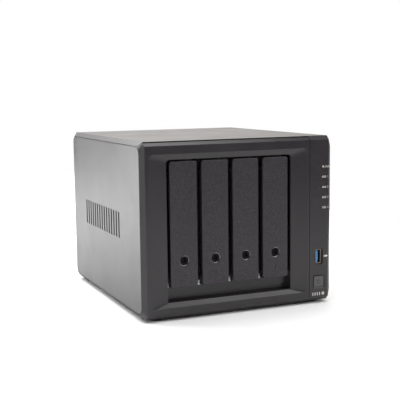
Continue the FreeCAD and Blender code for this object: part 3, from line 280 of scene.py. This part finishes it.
class Finish(Enum):
    """Every finish on the box, each worked out from its real material."""

    # Fine-grained black ABS: looks charcoal face on, and pale where it is seen at a slant.
    CASE = MouldedPlastic("ABS moulded fine grain", "272528", "312f32", 0.36, 0.8, 0.02)
    BEZEL = MouldedPlastic("ABS moulded satin grain", "242124", "2d2a2d", 0.33, 0.8, 0.02)
    # The tray faces come from a coarser tool. Its grain, about 0.1 mm, is drawn at 1.2 mm so that it shows.
    HANDLE = MouldedPlastic("ABS moulded coarse grain", "1f1b20", "3a353b", 0.44, 1.2, 0.06)
    # Lighter inner mouldings and the button: the same satin, a step paler than the case.
    TRAY = MouldedPlastic("ABS moulded grey", "3e3d40", "49484b", 0.42, 0.6, 0.02)
    LATCH = MouldedPlastic("acetal moulded dark", "3a393c", "464548", 0.40, 0.7, 0.01, ior=1.48)
    BUTTON = MouldedPlastic("ABS moulded satin", "49484a", "525153", 0.34, 0.5, 0.01)
    # Glass-filled connector and fan plastics: deep black, a little duller than ABS.
    NYLON = MouldedPlastic("nylon moulded black", "141415", "1d1d1e", 0.48, 0.5, 0.02, ior=1.53)
    FAN = MouldedPlastic("PBT moulded fan", "161617", "202021", 0.38, 0.9, 0.02, ior=1.55)
    # Coloured tongue of the fast socket: an even, slightly glossy blue.
    USB_BLUE = MouldedPlastic("nylon moulded blue", "2f7fc4", "3d8dd0", 0.35, 0.6, 0.01, ior=1.53)
    # Moulded rubber is duller than the case and slightly blotched with bloom.
    RUBBER = MouldedPlastic("rubber moulded", "18181a", "232325", 0.75, 2.2, 0.05, ior=1.52)
    # Printed ink: an opaque, slightly chalky film. The label is smooth coated paper.
    INK = MouldedPlastic("screen print ink pale", "c9c8c0", "d8d7d0", 0.60, 0.4, 0.004)
    INK_DARK = MouldedPlastic("pad print ink dark", "2b2a2c", "363537", 0.65, 0.4, 0.004)
    LABEL = MouldedPlastic("coated paper label", "c4c5c6", "d0d1d2", 0.45, 1.2, 0.006)
    # Sheet steel: long rolling streaks under zinc, and an orange-peel black under powder coat.
    ZINC = SheetMetal("zinc coated steel sheet", "a9adb0", "7f8487", 0.38, (0.8, 22.0, 0.8))
    POWDER = SheetMetal("powder coated steel sheet", "2a2a2b", "202021", 0.52, (0.9, 0.9, 0.9), 0.0, 0.05)
    # Plated and drawn parts: fine streaks along the draw, with a warm cast on the nickel.
    NICKEL = SheetMetal("nickel plated sheet", "9c9488", "7f786d", 0.34, (0.5, 9.0, 0.5))
    PIN = SheetMetal("drawn steel wire", "b8b9ba", "95979a", 0.30, (9.0, 0.4, 0.4))
    SCREW = SheetMetal("black zinc plated steel", "3c3c40", "28282b", 0.35, (0.6, 0.6, 0.6))
    LOCK = SheetMetal("black plated zinc casting", "232225", "18181a", 0.34, (0.5, 3.0, 0.5))
    # Black nickel on the lock's ring: dark, but it still catches a bright rim of light.
    COLLAR = SheetMetal("black nickel plated brass", "6a686c", "555357", 0.28, (0.4, 0.4, 0.4))
    # Aluminium: a pebbled casting for the drives, and drawn lines under anodising on the fins.
    CASTING = SheetMetal("die cast aluminium", "9ea1a5", "82858a", 0.42, (1.4, 1.4, 1.4), 1.0, 0.06)
    HEATSINK = SheetMetal("anodised aluminium", "b4b6b9", "9c9fa2", 0.35, (0.5, 18.0, 0.5))
    # Gold flash on the contacts: warm and glossy.
    GOLD = SheetMetal("gold plated contact", "e2b95a", "c79f45", 0.22, (0.4, 5.0, 0.4))
    # Solder mask: a glossy green film. The lens is dyed polycarbonate, level with the strip.
    BOARD = CircuitBoard("solder mask green", "0f4a2c", "1a6a40", 0.9)
    LENS = SmokedLens("smoked polycarbonate", "2c2a2d")

    def material(self) -> bpy.types.Material:
        """Gives this finish's material, building it the first time it is asked for.

        Returns:
            The one material that every piece of this finish shares.
        """
        found = bpy.data.materials.get(self.value.name)
        return found if found is not None else self.value.build()


# ---- Modelling helpers --------------------------------------------------------------------------
def only(piece: bpy.types.Object) -> None:
    """Selects one object and nothing else, and makes it active.

    Args:
        piece: The object to work on.
    """
    bpy.ops.object.select_all(action="DESELECT")
    piece.select_set(True)
    bpy.context.view_layer.objects.active = piece


@contextmanager
def editing(piece: bpy.types.Object, mode: str = "FACE") -> Iterator[bmesh.types.BMesh]:
    """Opens a piece in edit mode with nothing selected, and closes it afterwards.

    Args:
        piece: The object to edit.
        mode: VERT, EDGE or FACE.

    Yields:
        The piece's mesh, for picking by place or normal.
    """
    only(piece)
    bpy.ops.object.mode_set(mode="EDIT")
    bpy.ops.mesh.select_mode(type=mode)
    bpy.ops.mesh.select_all(action="DESELECT")
    yield bmesh.from_edit_mesh(piece.data)
    bpy.ops.object.mode_set(mode="OBJECT")


def settle(piece: bpy.types.Object) -> bpy.types.Object:
    """Moves an object's place, turn and scale into its mesh.

    Args:
        piece: The object to settle.

    Returns:
        The same object, at the origin.
    """
    only(piece)
    bpy.ops.object.transform_apply(location=True, rotation=True, scale=True)
    return piece


def finish(piece: bpy.types.Object, name: str, body: str, look: Finish,
           smooth: float = 35.0) -> bpy.types.Object:
    """Names a piece, gives it its finish, and lets it ride on its body.

    Args:
        piece: The modelled object.
        name: The piece's name.
        body: The CAD body it moves with.
        look: Its finish.
        smooth: Edges flatter than this many degrees are shaded smooth.

    Returns:
        The finished piece.
    """
    settle(piece)
    with editing(piece):
        bpy.ops.mesh.select_all(action="SELECT")
        bpy.ops.mesh.remove_doubles(threshold=0.000001)
        bpy.ops.mesh.normals_make_consistent(inside=False)
    only(piece)
    bpy.ops.object.shade_smooth_by_angle(angle=math.radians(smooth))
    piece.name = name
    piece.data.name = name
    piece.data.materials.clear()
    piece.data.materials.append(look.material())
    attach(piece, body)
    LOG.info("%s rides on %s in %s, %d faces", name, body, look.value.name, len(piece.data.polygons))
    return piece


def joined(pieces: Sequence[bpy.types.Object]) -> bpy.types.Object:
    """Joins several settled objects into the first of them.

    Args:
        pieces: The objects to join.

    Returns:
        The first object, which now holds them all.
    """
    for piece in pieces:
        settle(piece)
    bpy.ops.object.select_all(action="DESELECT")
    for piece in pieces:
        piece.select_set(True)
    bpy.context.view_layer.objects.active = pieces[0]
    bpy.ops.object.join()
    return pieces[0]


def copies(piece: bpy.types.Object, moves: Sequence[Vector]) -> list[bpy.types.Object]:
    """Copies a settled piece to new places, each copy with its own mesh.

    Args:
        piece: The piece to copy.
        moves: How far each copy stands from it.

    Returns:
        The copies.
    """
    made = []
    for move in moves:
        only(piece)
        bpy.ops.object.duplicate(linked=False)
        twin = bpy.context.object
        twin.location = move
        made.append(settle(twin))
    return made


def soft_block(centre: Vector, size: Vector, bevel: float, segments: int = 2) -> bpy.types.Object:
    """Models a small block with rounded edges.

    Args:
        centre: Its middle.
        size: Its width, depth and height.
        bevel: The rounding's width.
        segments: How many faces round one edge.

    Returns:
        The settled block.
    """
    bpy.ops.object.select_all(action="DESELECT")
    bpy.ops.mesh.primitive_cube_add(size=1, location=centre, scale=size)
    block = settle(bpy.context.object)
    with editing(block, "EDGE"):
        bpy.ops.mesh.select_all(action="SELECT")
        bpy.ops.mesh.bevel(offset=bevel, segments=segments, affect="EDGES")
    return block


def printed_bar(centre: Vector, wide: float, high: float, thick: float) -> bpy.types.Object:
    """Models a flat printed bar with rounded corners, upright and facing the front.

    Args:
        centre: The middle of its front face.
        wide: Its width along X.
        high: Its height along Z.
        thick: The film's thickness.

    Returns:
        The settled bar.
    """
    bpy.ops.object.select_all(action="DESELECT")
    bpy.ops.mesh.primitive_plane_add(size=1, location=centre, rotation=(math.pi / 2, 0, 0))
    bar = bpy.context.object
    bar.scale = (wide, high, 1)
    settle(bar)
    with editing(bar, "VERT"):
        bpy.ops.mesh.select_all(action="SELECT")
        bpy.ops.mesh.bevel(offset=min(wide, high) * 0.28, segments=3, affect="VERTICES")
    with editing(bar, "FACE"):
        bpy.ops.mesh.select_all(action="SELECT")
        bpy.ops.mesh.extrude_region_move(TRANSFORM_OT_translate={"value": (0, thick, 0)})
    return bar


def printed_ring(centre: Vector, outer: float, inner: float, thick: float,
                 turn: float = 360.0) -> bpy.types.Object:
    """Models a printed ring or arc by spinning a short strip about its middle.

    Args:
        centre: The middle of the ring.
        outer: Its outer radius.
        inner: Its inner radius.
        thick: The film's thickness.
        turn: How far round it goes, in degrees, with any gap at the top.

    Returns:
        The settled ring.
    """
    start = math.radians((360 - turn) / 2)
    middle = (outer + inner) / 2
    place = centre + Vector((math.sin(start) * middle, thick / 2, math.cos(start) * middle))
    bpy.ops.object.select_all(action="DESELECT")
    bpy.ops.mesh.primitive_plane_add(size=1, location=place, rotation=(0, math.pi / 2 + start, 0))
    strip = bpy.context.object
    strip.scale = (outer - inner, thick, 1)
    settle(strip)
    with editing(strip, "FACE"):
        bpy.ops.mesh.select_all(action="SELECT")
        bpy.ops.mesh.spin(steps=int(turn / 9), angle=math.radians(turn), center=centre, axis=(0, 1, 0))
    return strip


def printed_text(words: str, centre: Vector, high: float, thick: float,
                 tilt: float = 0.0) -> bpy.types.Object:
    """Models a generic printed numeral as a thin mesh.

    Args:
        words: The numeral.
        centre: The middle of its face.
        high: Its height.
        thick: The film's thickness.
        tilt: How far its face leans back, in radians.

    Returns:
        The settled numeral.
    """
    bpy.ops.object.select_all(action="DESELECT")
    bpy.ops.object.text_add(location=(0, 0, 0))
    text = bpy.context.object
    text.data.body = words
    text.data.size = high * 1.4
    text.data.align_x = "CENTER"
    text.data.align_y = "CENTER"
    text.data.extrude = thick / 2
    text.data.resolution_u = 3
    bpy.ops.object.convert(target="MESH")
    piece = bpy.context.object
    piece.rotation_euler = (math.pi / 2 - tilt, 0, 0)
    piece.location = centre
    return settle(piece)


def turned_ring(centre: Vector, steps: Sequence[tuple[float, float]], sides: int = 48) -> bpy.types.Object:
    """Models a ring turned about the front-to-back axis, from a circle drawn through a profile.

    Args:
        centre: A point on its axis.
        steps: Radius and depth of each point of the closed profile.
        sides: How many faces go round it.

    Returns:
        The settled ring.
    """
    bpy.ops.object.select_all(action="DESELECT")
    radius, depth = steps[0]
    bpy.ops.mesh.primitive_circle_add(vertices=sides, radius=radius, location=centre + Vector((0, depth, 0)),
                                      rotation=(math.pi / 2, 0, 0))
    ring = settle(bpy.context.object)
    with editing(ring, "EDGE"):
        bpy.ops.mesh.select_all(action="SELECT")
        for (old, back), (new, ahead) in zip(steps, list(steps[1:]) + [steps[0]]):
            bpy.ops.mesh.extrude_edges_move(TRANSFORM_OT_translate={"value": (0, ahead - back, 0)})
            bpy.ops.transform.resize(value=(new / old, 1, new / old),
                                     center_override=centre + Vector((0, ahead, 0)))
    return ring


# ---- Sub-assemblies -----------------------------------------------------------------------------
@dataclass
class DressedCase:
    """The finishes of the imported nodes, which keep their own meshes."""

    looks: dict[Finish, tuple[str, ...]] = field(default_factory=lambda: {
        Finish.CASE: ("top_cover", "left_side_panel", "right_side_panel", "base_pan", "service_lids"),
        Finish.BEZEL: ("front_bezel", "control_strip"),
        Finish.BUTTON: ("power_button", "reset_button"),
        Finish.LENS: ("indicator_lenses",),
        Finish.RUBBER: ("rubber_feet",),
        Finish.NICKEL: ("usb_front_shell", "usb_rear_port"),
        Finish.USB_BLUE: ("usb_front_tongue",),
        Finish.BOARD: ("front_board", "backplane_board", "mainboard", "memory_module"),
        Finish.NYLON: ("power_switch", "drive_sockets", "esata_port", "power_inlet", "lan_ports"),
        Finish.ZINC: ("drive_cage",),
        Finish.POWDER: ("rear_panel",),
        Finish.FAN: ("fan_frame_left", "fan_frame_right", "fan_rotor_left", "fan_rotor_right"),
        Finish.HEATSINK: ("heatsink",),
        Finish.SCREW: ("fan_screws", "machine_screws"),
        Finish.TRAY: tuple(f"tray_frame_{bay}" for bay in BAYS),
        Finish.HANDLE: tuple(f"tray_handle_{bay}" for bay in BAYS),
        Finish.LATCH: tuple(f"{kind}_{bay}" for bay in BAYS for kind in ("handle_latch", "drive_clips")),
        Finish.PIN: tuple(f"handle_pin_{bay}" for bay in BAYS),
        Finish.LOCK: tuple(f"tray_lock_{bay}" for bay in BAYS),
        Finish.CASTING: tuple(f"hard_drive_{bay}" for bay in BAYS),
    })

    def dress(self) -> None:
        """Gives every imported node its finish."""
        for look, nodes in self.looks.items():
            for node in nodes:
                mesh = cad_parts[node].data
                mesh.materials.clear()
                mesh.materials.append(look.material())
                LOG.info("%s is %s", node, look.value.name)


@dataclass
class StripPrinting:
    """The printed pictograms and numerals on the control strip and the power button."""

    film: float = 0.03 * MM
    cap: float = 2.1 * MM
    stroke: float = 0.5 * MM
    stroke_gap: float = 0.74 * MM
    word_left: float = 2.9 * MM
    numeral_left: float = 9.3 * MM
    usb_left: float = 3.4 * MM
    window_high: float = 1.3 * MM
    word_gap: float = 0.9 * MM
    status_heights: tuple[float, ...] = (0.5, 1.0, 0.7, 0.9, 0.6)
    # Each bar of the plug: how far right and up its middle is, its width and its height, in mm.
    plug_bars: tuple[tuple[float, float, float, float], ...] = (
        (1.6, 0.0, 2.6, 1.9), (-0.3, 0.55, 1.4, 0.5), (-0.3, -0.55, 1.4, 0.5), (3.4, 0.0, 1.4, 0.5))
    mark_low: float = 5.4 * MM
    mark_left: float = 2.9 * MM
    mark_high: float = 3.1 * MM
    mark_bar: float = 0.95 * MM
    mark_first: float = 0.9 * MM
    mark_pitch: float = 2.5 * MM
    mark_ring: tuple[float, float, float] = (12.4 * MM, 1.55 * MM, 0.6 * MM)
    power_arc: tuple[float, float, float] = (1.9 * MM, 1.45 * MM, 290.0)
    power_bar: tuple[float, float, float] = (1.5 * MM, 0.45 * MM, 1.7 * MM)

    def face(self) -> float:
        """The depth of the strip's front face."""
        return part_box("control_strip")[0].y

    def row_heights(self) -> list[float]:
        """The middles of the status windows, from the lowest to the highest.

        Returns:
            One height for each window.
        """
        low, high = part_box("indicator_lenses")
        pitch = (high.z - low.z - self.window_high) / len(BAYS)
        return [low.z + self.window_high / 2 + pitch * i for i in range(len(BAYS) + 1)]

    def bay_rows(self) -> None:
        """Prints four strokes and a numeral beside each bay's window."""
        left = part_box("indicator_lenses")[1].x + self.word_left
        for bay, height in zip(reversed(BAYS), self.row_heights()):
            marks = []
            for i in range(len(BAYS)):
                x = left + self.stroke / 2 + i * (self.stroke + self.stroke_gap)
                marks.append(printed_bar(Vector((x, self.face() - self.film, height)), self.stroke,
                                         self.cap, self.film))
            x = left + self.numeral_left - self.word_left
            marks.append(printed_text(str(bay), Vector((x, self.face() - self.film / 2, height)),
                                      self.cap, self.film))
            finish(joined(marks), f"bay_label_{bay}", "root", Finish.INK)

    def status_row(self) -> None:
        """Prints a ring and a row of uneven strokes beside the window for the whole box."""
        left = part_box("indicator_lenses")[1].x + self.word_left
        height = self.row_heights()[-1]
        y = self.face() - self.film
        marks = [printed_ring(Vector((left + self.cap / 2, y, height)), self.cap / 2, self.cap / 4,
                              self.film)]
        for i, high in enumerate(self.status_heights):
            x = left + self.cap + self.word_gap + i * (self.stroke + self.stroke_gap)
            bottom = height - self.cap / 2
            marks.append(printed_bar(Vector((x, y, bottom + self.cap * high / 2)), self.stroke,
                                     self.cap * high, self.film))
        finish(joined(marks), "status_label", "root", Finish.INK)

    def plug_mark(self) -> None:
        """Prints a plain plug pictogram beside the USB socket."""
        low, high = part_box("usb_front_shell")
        x, y, z = high.x + self.usb_left, self.face() - self.film, (low.z + high.z) / 2
        marks = [printed_bar(Vector((x + right * MM, y, z + up * MM)), wide * MM, tall * MM, self.film)
                 for right, up, wide, tall in self.plug_bars]
        finish(joined(marks), "usb_label", "root", Finish.INK)

    def capacity_mark(self) -> None:
        """Prints four upright bay bars and a ring at the foot of the strip."""
        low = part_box("control_strip")[0]
        x = low.x + self.mark_left
        y, z = self.face() - self.film, low.z + self.mark_low + self.mark_high / 2
        marks = [printed_bar(Vector((x + self.mark_first + self.mark_pitch * i, y, z)), self.mark_bar,
                             self.mark_high, self.film) for i in range(len(BAYS))]
        right, outer, inner = self.mark_ring
        marks.append(printed_ring(Vector((x + right, y, z)), outer, inner, self.film))
        finish(joined(marks), "capacity_label", "root", Finish.INK)

    def power_mark(self) -> None:
        """Prints the power symbol on the button, which carries it when pressed."""
        low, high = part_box("power_button")
        centre = Vector(((low.x + high.x) / 2, low.y - self.film, (low.z + high.z) / 2))
        outer, inner, turn = self.power_arc
        up, wide, tall = self.power_bar
        ring = printed_ring(centre, outer, inner, self.film, turn)
        bar = printed_bar(centre + Vector((0, 0, up)), wide, tall, self.film)
        finish(joined([ring, bar]), "power_symbol", "power_button", Finish.INK_DARK)

    def make(self) -> None:
        """Prints everything on the strip."""
        self.bay_rows()
        self.status_row()
        self.plug_mark()
        self.capacity_mark()
        self.power_mark()


@dataclass
class BayFittings:
    """What each bay adds at the front: a ring round the lock and a number on the lower bevel."""

    # Radius and depth behind the tray's face of each point of the lock ring's section, in mm.
    ring_profile: tuple[tuple[float, float], ...] = (
        (4.95, 0.06), (4.75, -0.06), (4.45, 0.04), (4.1, 0.5), (3.62, 1.3), (4.9, 1.3))
    number_high: float = 1.9 * MM
    bevel_run: float = 4.3 * MM
    bevel_rise: float = 2.3 * MM
    bevel_low: float = 10.0 * MM
    film: float = 0.03 * MM

    def lock_rings(self) -> None:
        """Turns a shallow plated cone that lines each lock's countersink and turns with its barrel."""
        for bay in BAYS:
            low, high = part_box(f"tray_lock_{bay}")
            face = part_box(f"tray_handle_{bay}")[0].y
            centre = Vector(((low.x + high.x) / 2, face, (low.z + high.z) / 2))
            steps = [(radius * MM, depth * MM) for radius, depth in self.ring_profile]
            finish(turned_ring(centre, steps), f"lock_ring_{bay}", f"lock_{bay}", Finish.COLLAR)

    def bay_numbers(self) -> None:
        """Marks each bay's number on the bevel below its tray."""
        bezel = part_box("front_bezel")[0]
        tilt = math.atan2(self.bevel_rise, self.bevel_run)
        for bay in BAYS:
            low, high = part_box(f"tray_handle_{bay}")
            place = Vector(((low.x + high.x) / 2, bezel.y + self.bevel_rise / 2,
                            bezel.z + self.bevel_low + self.bevel_run / 2))
            mark = printed_text(str(bay), place, self.number_high, self.film, tilt)
            finish(mark, f"bay_number_{bay}", "root", Finish.INK_DARK)

    def make(self) -> None:
        """Makes the rings and the numbers."""
        self.lock_rings()
        self.bay_numbers()


@dataclass
class Contacts:
    """Contacts inside the front USB socket and the two network sockets, and the USB spring leaf."""

    pad_size: tuple[float, float, float] = (0.12 * MM, 5.0 * MM, 0.9 * MM)
    pad_back: float = 3.4 * MM
    pad_aside: float = 0.2 * MM
    pad_count: int = 4
    usb_pitch: float = 2.3 * MM
    leaf_thick: float = 0.3 * MM
    leaf_long: float = 7.0 * MM
    leaf_back: float = 0.5 * MM
    shell_wall: float = 0.35 * MM
    jack_wide: float = 16.0 * MM
    wire_size: tuple[float, float, float] = (0.4 * MM, 9.0 * MM, 0.3 * MM)
    wire_slant: float = math.radians(-16)
    wire_inset: float = 7.5 * MM
    wire_drop: float = 4.0 * MM
    wire_pitch: float = 1.02 * MM
    wire_count: int = 8

    def usb_pads(self) -> None:
        """Lays four contact pads on the front socket's tongue."""
        low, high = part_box("usb_front_tongue")
        z = (low.z + high.z) / 2
        face = (low.x + high.x) / 2 - self.pad_aside
        first = z - self.usb_pitch * (self.pad_count - 1) / 2
        pad = soft_block(Vector((face, low.y + self.pad_back, first)), Vector(self.pad_size), 0.05 * MM)
        moves = [Vector((0, 0, self.usb_pitch * i)) for i in range(1, self.pad_count)]
        finish(joined([pad] + copies(pad, moves)), "usb_contacts", "root", Finish.GOLD)

    def usb_leaf(self) -> None:
        """Lays the spring leaf along the front socket's side wall, clear of where the plug goes."""
        low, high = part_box("usb_front_shell")
        place = Vector((high.x - self.shell_wall - self.leaf_thick / 2,
                        low.y + self.leaf_back + self.leaf_long / 2, (low.z + high.z) / 2))
        leaf = soft_block(place, Vector((self.leaf_thick, self.leaf_long,
                                         high.z - low.z - 4 * self.shell_wall)), 0.08 * MM)
        finish(leaf, "usb_spring_leaf", "root", Finish.NICKEL)

    def network_wires(self) -> None:
        """Stands eight slanted spring wires in each network socket."""
        low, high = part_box("lan_ports")
        wires = []
        for middle in (low.x + self.jack_wide / 2, high.x - self.jack_wide / 2):
            x = middle - self.wire_pitch * (self.wire_count - 1) / 2
            wire = soft_block(Vector((0, 0, 0)), Vector(self.wire_size), 0.1 * MM)
            wire.rotation_euler = (self.wire_slant, 0, 0)
            wire.location = (x, high.y - self.wire_inset, high.z - self.wire_drop)
            settle(wire)
            wires += [wire] + copies(wire, [Vector((self.wire_pitch * i, 0, 0))
                                            for i in range(1, self.wire_count)])
        finish(joined(wires), "network_contacts", "root", Finish.GOLD)

    def make(self) -> None:
        """Makes all the contacts."""
        self.usb_pads()
        self.usb_leaf()
        self.network_wires()


@dataclass
class Labels:
    """Plain stickers without any print: one on each fan's hub and one on each drive's lid."""

    sticker: float = 0.12 * MM
    sunk: float = 0.02 * MM
    hub_radius: float = 14.0 * MM
    centre_radius: float = 0.4 * MM
    edge_round: float = 0.2 * MM
    lid_label: tuple[float, float] = (60 * MM, 66 * MM)
    lid_inset: float = 52 * MM
    lid_up: float = 6 * MM

    def fan_stickers(self) -> None:
        """Sticks a round dark label on the back of each fan's motor."""
        for side in ("left", "right"):
            low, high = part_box(f"fan_frame_{side}")
            centre = Vector(((low.x + high.x) / 2, low.y, (low.z + high.z) / 2))
            back = high.y - low.y
            steps = [(self.centre_radius, back - self.sunk), (self.hub_radius, back - self.sunk),
                     (self.hub_radius, back + self.sticker * 0.6),
                     (self.hub_radius - self.edge_round, back + self.sticker),
                     (self.centre_radius, back + self.sticker)]
            finish(turned_ring(centre, steps), f"fan_label_{side}", "root", Finish.INK_DARK)

    def drive_stickers(self) -> None:
        """Sticks a plain label on each drive's lid."""
        for bay in BAYS:
            low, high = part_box(f"hard_drive_{bay}")
            centre = Vector((low.x + self.sunk, high.y - self.lid_inset, (low.z + high.z) / 2 + self.lid_up))
            label = soft_block(centre, Vector((self.sticker, *self.lid_label)), 0.05 * MM)
            finish(label, f"drive_label_{bay}", f"tray_{bay}", Finish.LABEL)

    def make(self) -> None:
        """Sticks every label on."""
        self.fan_stickers()
        self.drive_stickers()


# ---- Studio -------------------------------------------------------------------------------------
@dataclass(frozen=True)
class Softbox:
    """One soft area light, aimed at a point."""

    name: str
    place: tuple[float, float, float]
    aim: tuple[float, float, float]
    size: tuple[float, float]
    watts: float

    def build(self) -> None:
        """Hangs the light and turns it to its aim."""
        light = bpy.data.lights.new(self.name, "AREA")
        light.shape = "RECTANGLE"
        light.size, light.size_y = self.size
        light.energy = self.watts
        lamp = bpy.data.objects.new(self.name, light)
        lamp.visible_camera = False
        bpy.context.scene.collection.objects.link(lamp)
        lamp.location = self.place
        lamp.rotation_euler = (Vector(self.aim) - Vector(self.place)).to_track_quat("-Z", "Y").to_euler()


@dataclass
class Studio:
    """A white table and surround, soft lights, and a camera at the front left."""

    azimuth: float = math.radians(-23.45)
    elevation: float = math.radians(7.28)
    roll: float = math.radians(-0.7)
    distance: float = 0.9205
    aim_height: float = 0.080
    slide: tuple[float, float] = (0.00554, 0.01574)
    lens: float = 78.1
    table_sides: tuple[float, float] = (-1.4, 0.45)
    table_ends: tuple[float, float] = (-0.9, 1.4)
    table_drop: float = -0.2 * MM
    surround: float = 1.0
    room_level: float = 0.04
    room_glow: float = 1.05
    glow_towards: tuple[float, float, float] = (0.48, 0.831, 0.28)
    glow_edge: tuple[float, float] = (0.72, 0.96)
    glow_tint: tuple[float, float, float, float] = (1.0, 0.955, 0.905, 1.0)
    lights: tuple[Softbox, ...] = (
        Softbox("overhead softbox", (0.0, -0.06, 1.68), (0.0, 0.0, 0.08), (1.4, 1.4), 28.0),
        Softbox("back left softbox", (-1.25, 0.98, 0.15), (0.0, 0.0, 0.07), (1.0, 0.27), 20.5),
        Softbox("front right softbox", (0.67, -0.96, 1.17), (0.0, 0.0, 0.08), (0.8, 0.8), 8.0),
        Softbox("right low softbox", (1.15, -0.97, 0.63), (0.0, 0.0, 0.08), (0.8, 0.8), 4.0),
        Softbox("rear high softbox", (0.2, 2.3, 1.3), (0.2, 2.3, 0.0), (2.4, 2.4), 26.0),
        Softbox("table left softbox", (-0.6, 0.6, 0.7), (-0.6, 0.6, 0.0), (0.8, 0.8), 13.0),
        Softbox("left low softbox", (-1.43, -0.67, 0.18), (0.0, 0.0, 0.04), (0.9, 0.9), 4.0),
        Softbox("accent light", (1.42, -0.49, 0.66), (0.0, 0.0, 0.08), (0.12, 0.12), 1.5),
    )

    def camera(self) -> None:
        """Sets the camera up from its angles, distance and lens."""
        turn = (Matrix.Rotation(self.azimuth, 4, "Z") @ Matrix.Rotation(math.pi / 2 - self.elevation, 4, "X")
                @ Matrix.Rotation(self.roll, 4, "Z"))
        place = Vector((0, 0, self.aim_height)) + turn.to_3x3() @ Vector((*self.slide, self.distance))
        data = bpy.data.cameras.new("camera")
        data.lens = self.lens
        data.sensor_width = 36.0
        camera = bpy.data.objects.new("camera", data)
        camera.matrix_world = Matrix.Translation(place) @ turn
        bpy.context.scene.collection.objects.link(camera)
        bpy.context.scene.camera = camera

    def floor(self) -> None:
        """Lays a plain pale table."""
        bpy.ops.object.select_all(action="DESELECT")
        left, right = self.table_sides
        front, back = self.table_ends
        middle = ((left + right) / 2, (front + back) / 2, self.table_drop)
        bpy.ops.mesh.primitive_plane_add(size=1, location=middle)
        table = bpy.context.object
        table.scale = (right - left, back - front, 1)
        settle(table)
        table.name = "table"
        material, tree = blank_material("white laminate")
        cloud = noise_in_mm(tree, 180.0, 2.0)
        colour = add_node(tree, "ShaderNodeMix", data_type="RGBA", links={0: cloud.outputs["Fac"]},
                          inputs={6: linear("f4f4f4"), 7: linear("f8f8f8")})
        shader = add_node(tree, "ShaderNodeBsdfPrincipled", links={"Base Color": colour.outputs[2]},
                          inputs={"Roughness": 0.9, "Specular IOR Level": 0.1})
        add_node(tree, "ShaderNodeOutputMaterial", links={"Surface": shader.outputs[0]})
        table.data.materials.append(material)

    def room(self) -> None:
        """Lights the room: a warm glow behind the box on the right, dim elsewhere, white to the eye."""
        world = bpy.data.worlds.new("studio")
        bpy.context.scene.world = world
        world.use_nodes = True
        tree = world.node_tree
        tree.nodes.clear()
        place = add_node(tree, "ShaderNodeTexCoord")
        along = add_node(tree, "ShaderNodeVectorMath", operation="DOT_PRODUCT",
                         links={0: place.outputs["Generated"]}, inputs={1: self.glow_towards})
        start, full = self.glow_edge
        level = add_node(tree, "ShaderNodeMapRange", interpolation_type="SMOOTHSTEP",
                         links={"Value": along.outputs["Value"]},
                         inputs={"From Min": start, "From Max": full, "To Min": self.room_level,
                                 "To Max": self.room_glow})
        seen = add_node(tree, "ShaderNodeBackground",
                        inputs={"Color": (1, 1, 1, 1), "Strength": self.surround})
        lit = add_node(tree, "ShaderNodeBackground", links={"Strength": level.outputs["Result"]},
                       inputs={"Color": self.glow_tint})
        rays = add_node(tree, "ShaderNodeLightPath")
        both = add_node(tree, "ShaderNodeMixShader", links={0: rays.outputs["Is Camera Ray"],
                                                            1: lit.outputs[0], 2: seen.outputs[0]})
        add_node(tree, "ShaderNodeOutputWorld", links={"Surface": both.outputs[0]})

    def build(self) -> None:
        """Builds the whole studio."""
        bpy.context.scene.view_settings.view_transform = "Standard"
        self.camera()
        self.floor()
        self.room()
        for light in self.lights:
            light.build()


def main() -> None:
    """Builds the studio, dresses the box and adds its fittings."""
    logging.basicConfig(level=logging.INFO, format="%(name)s: %(message)s")
    Studio().build()
    DressedCase().dress()
    StripPrinting().make()
    BayFittings().make()
    Contacts().make()
    Labels().make()


if __name__ == "__main__":
    main()
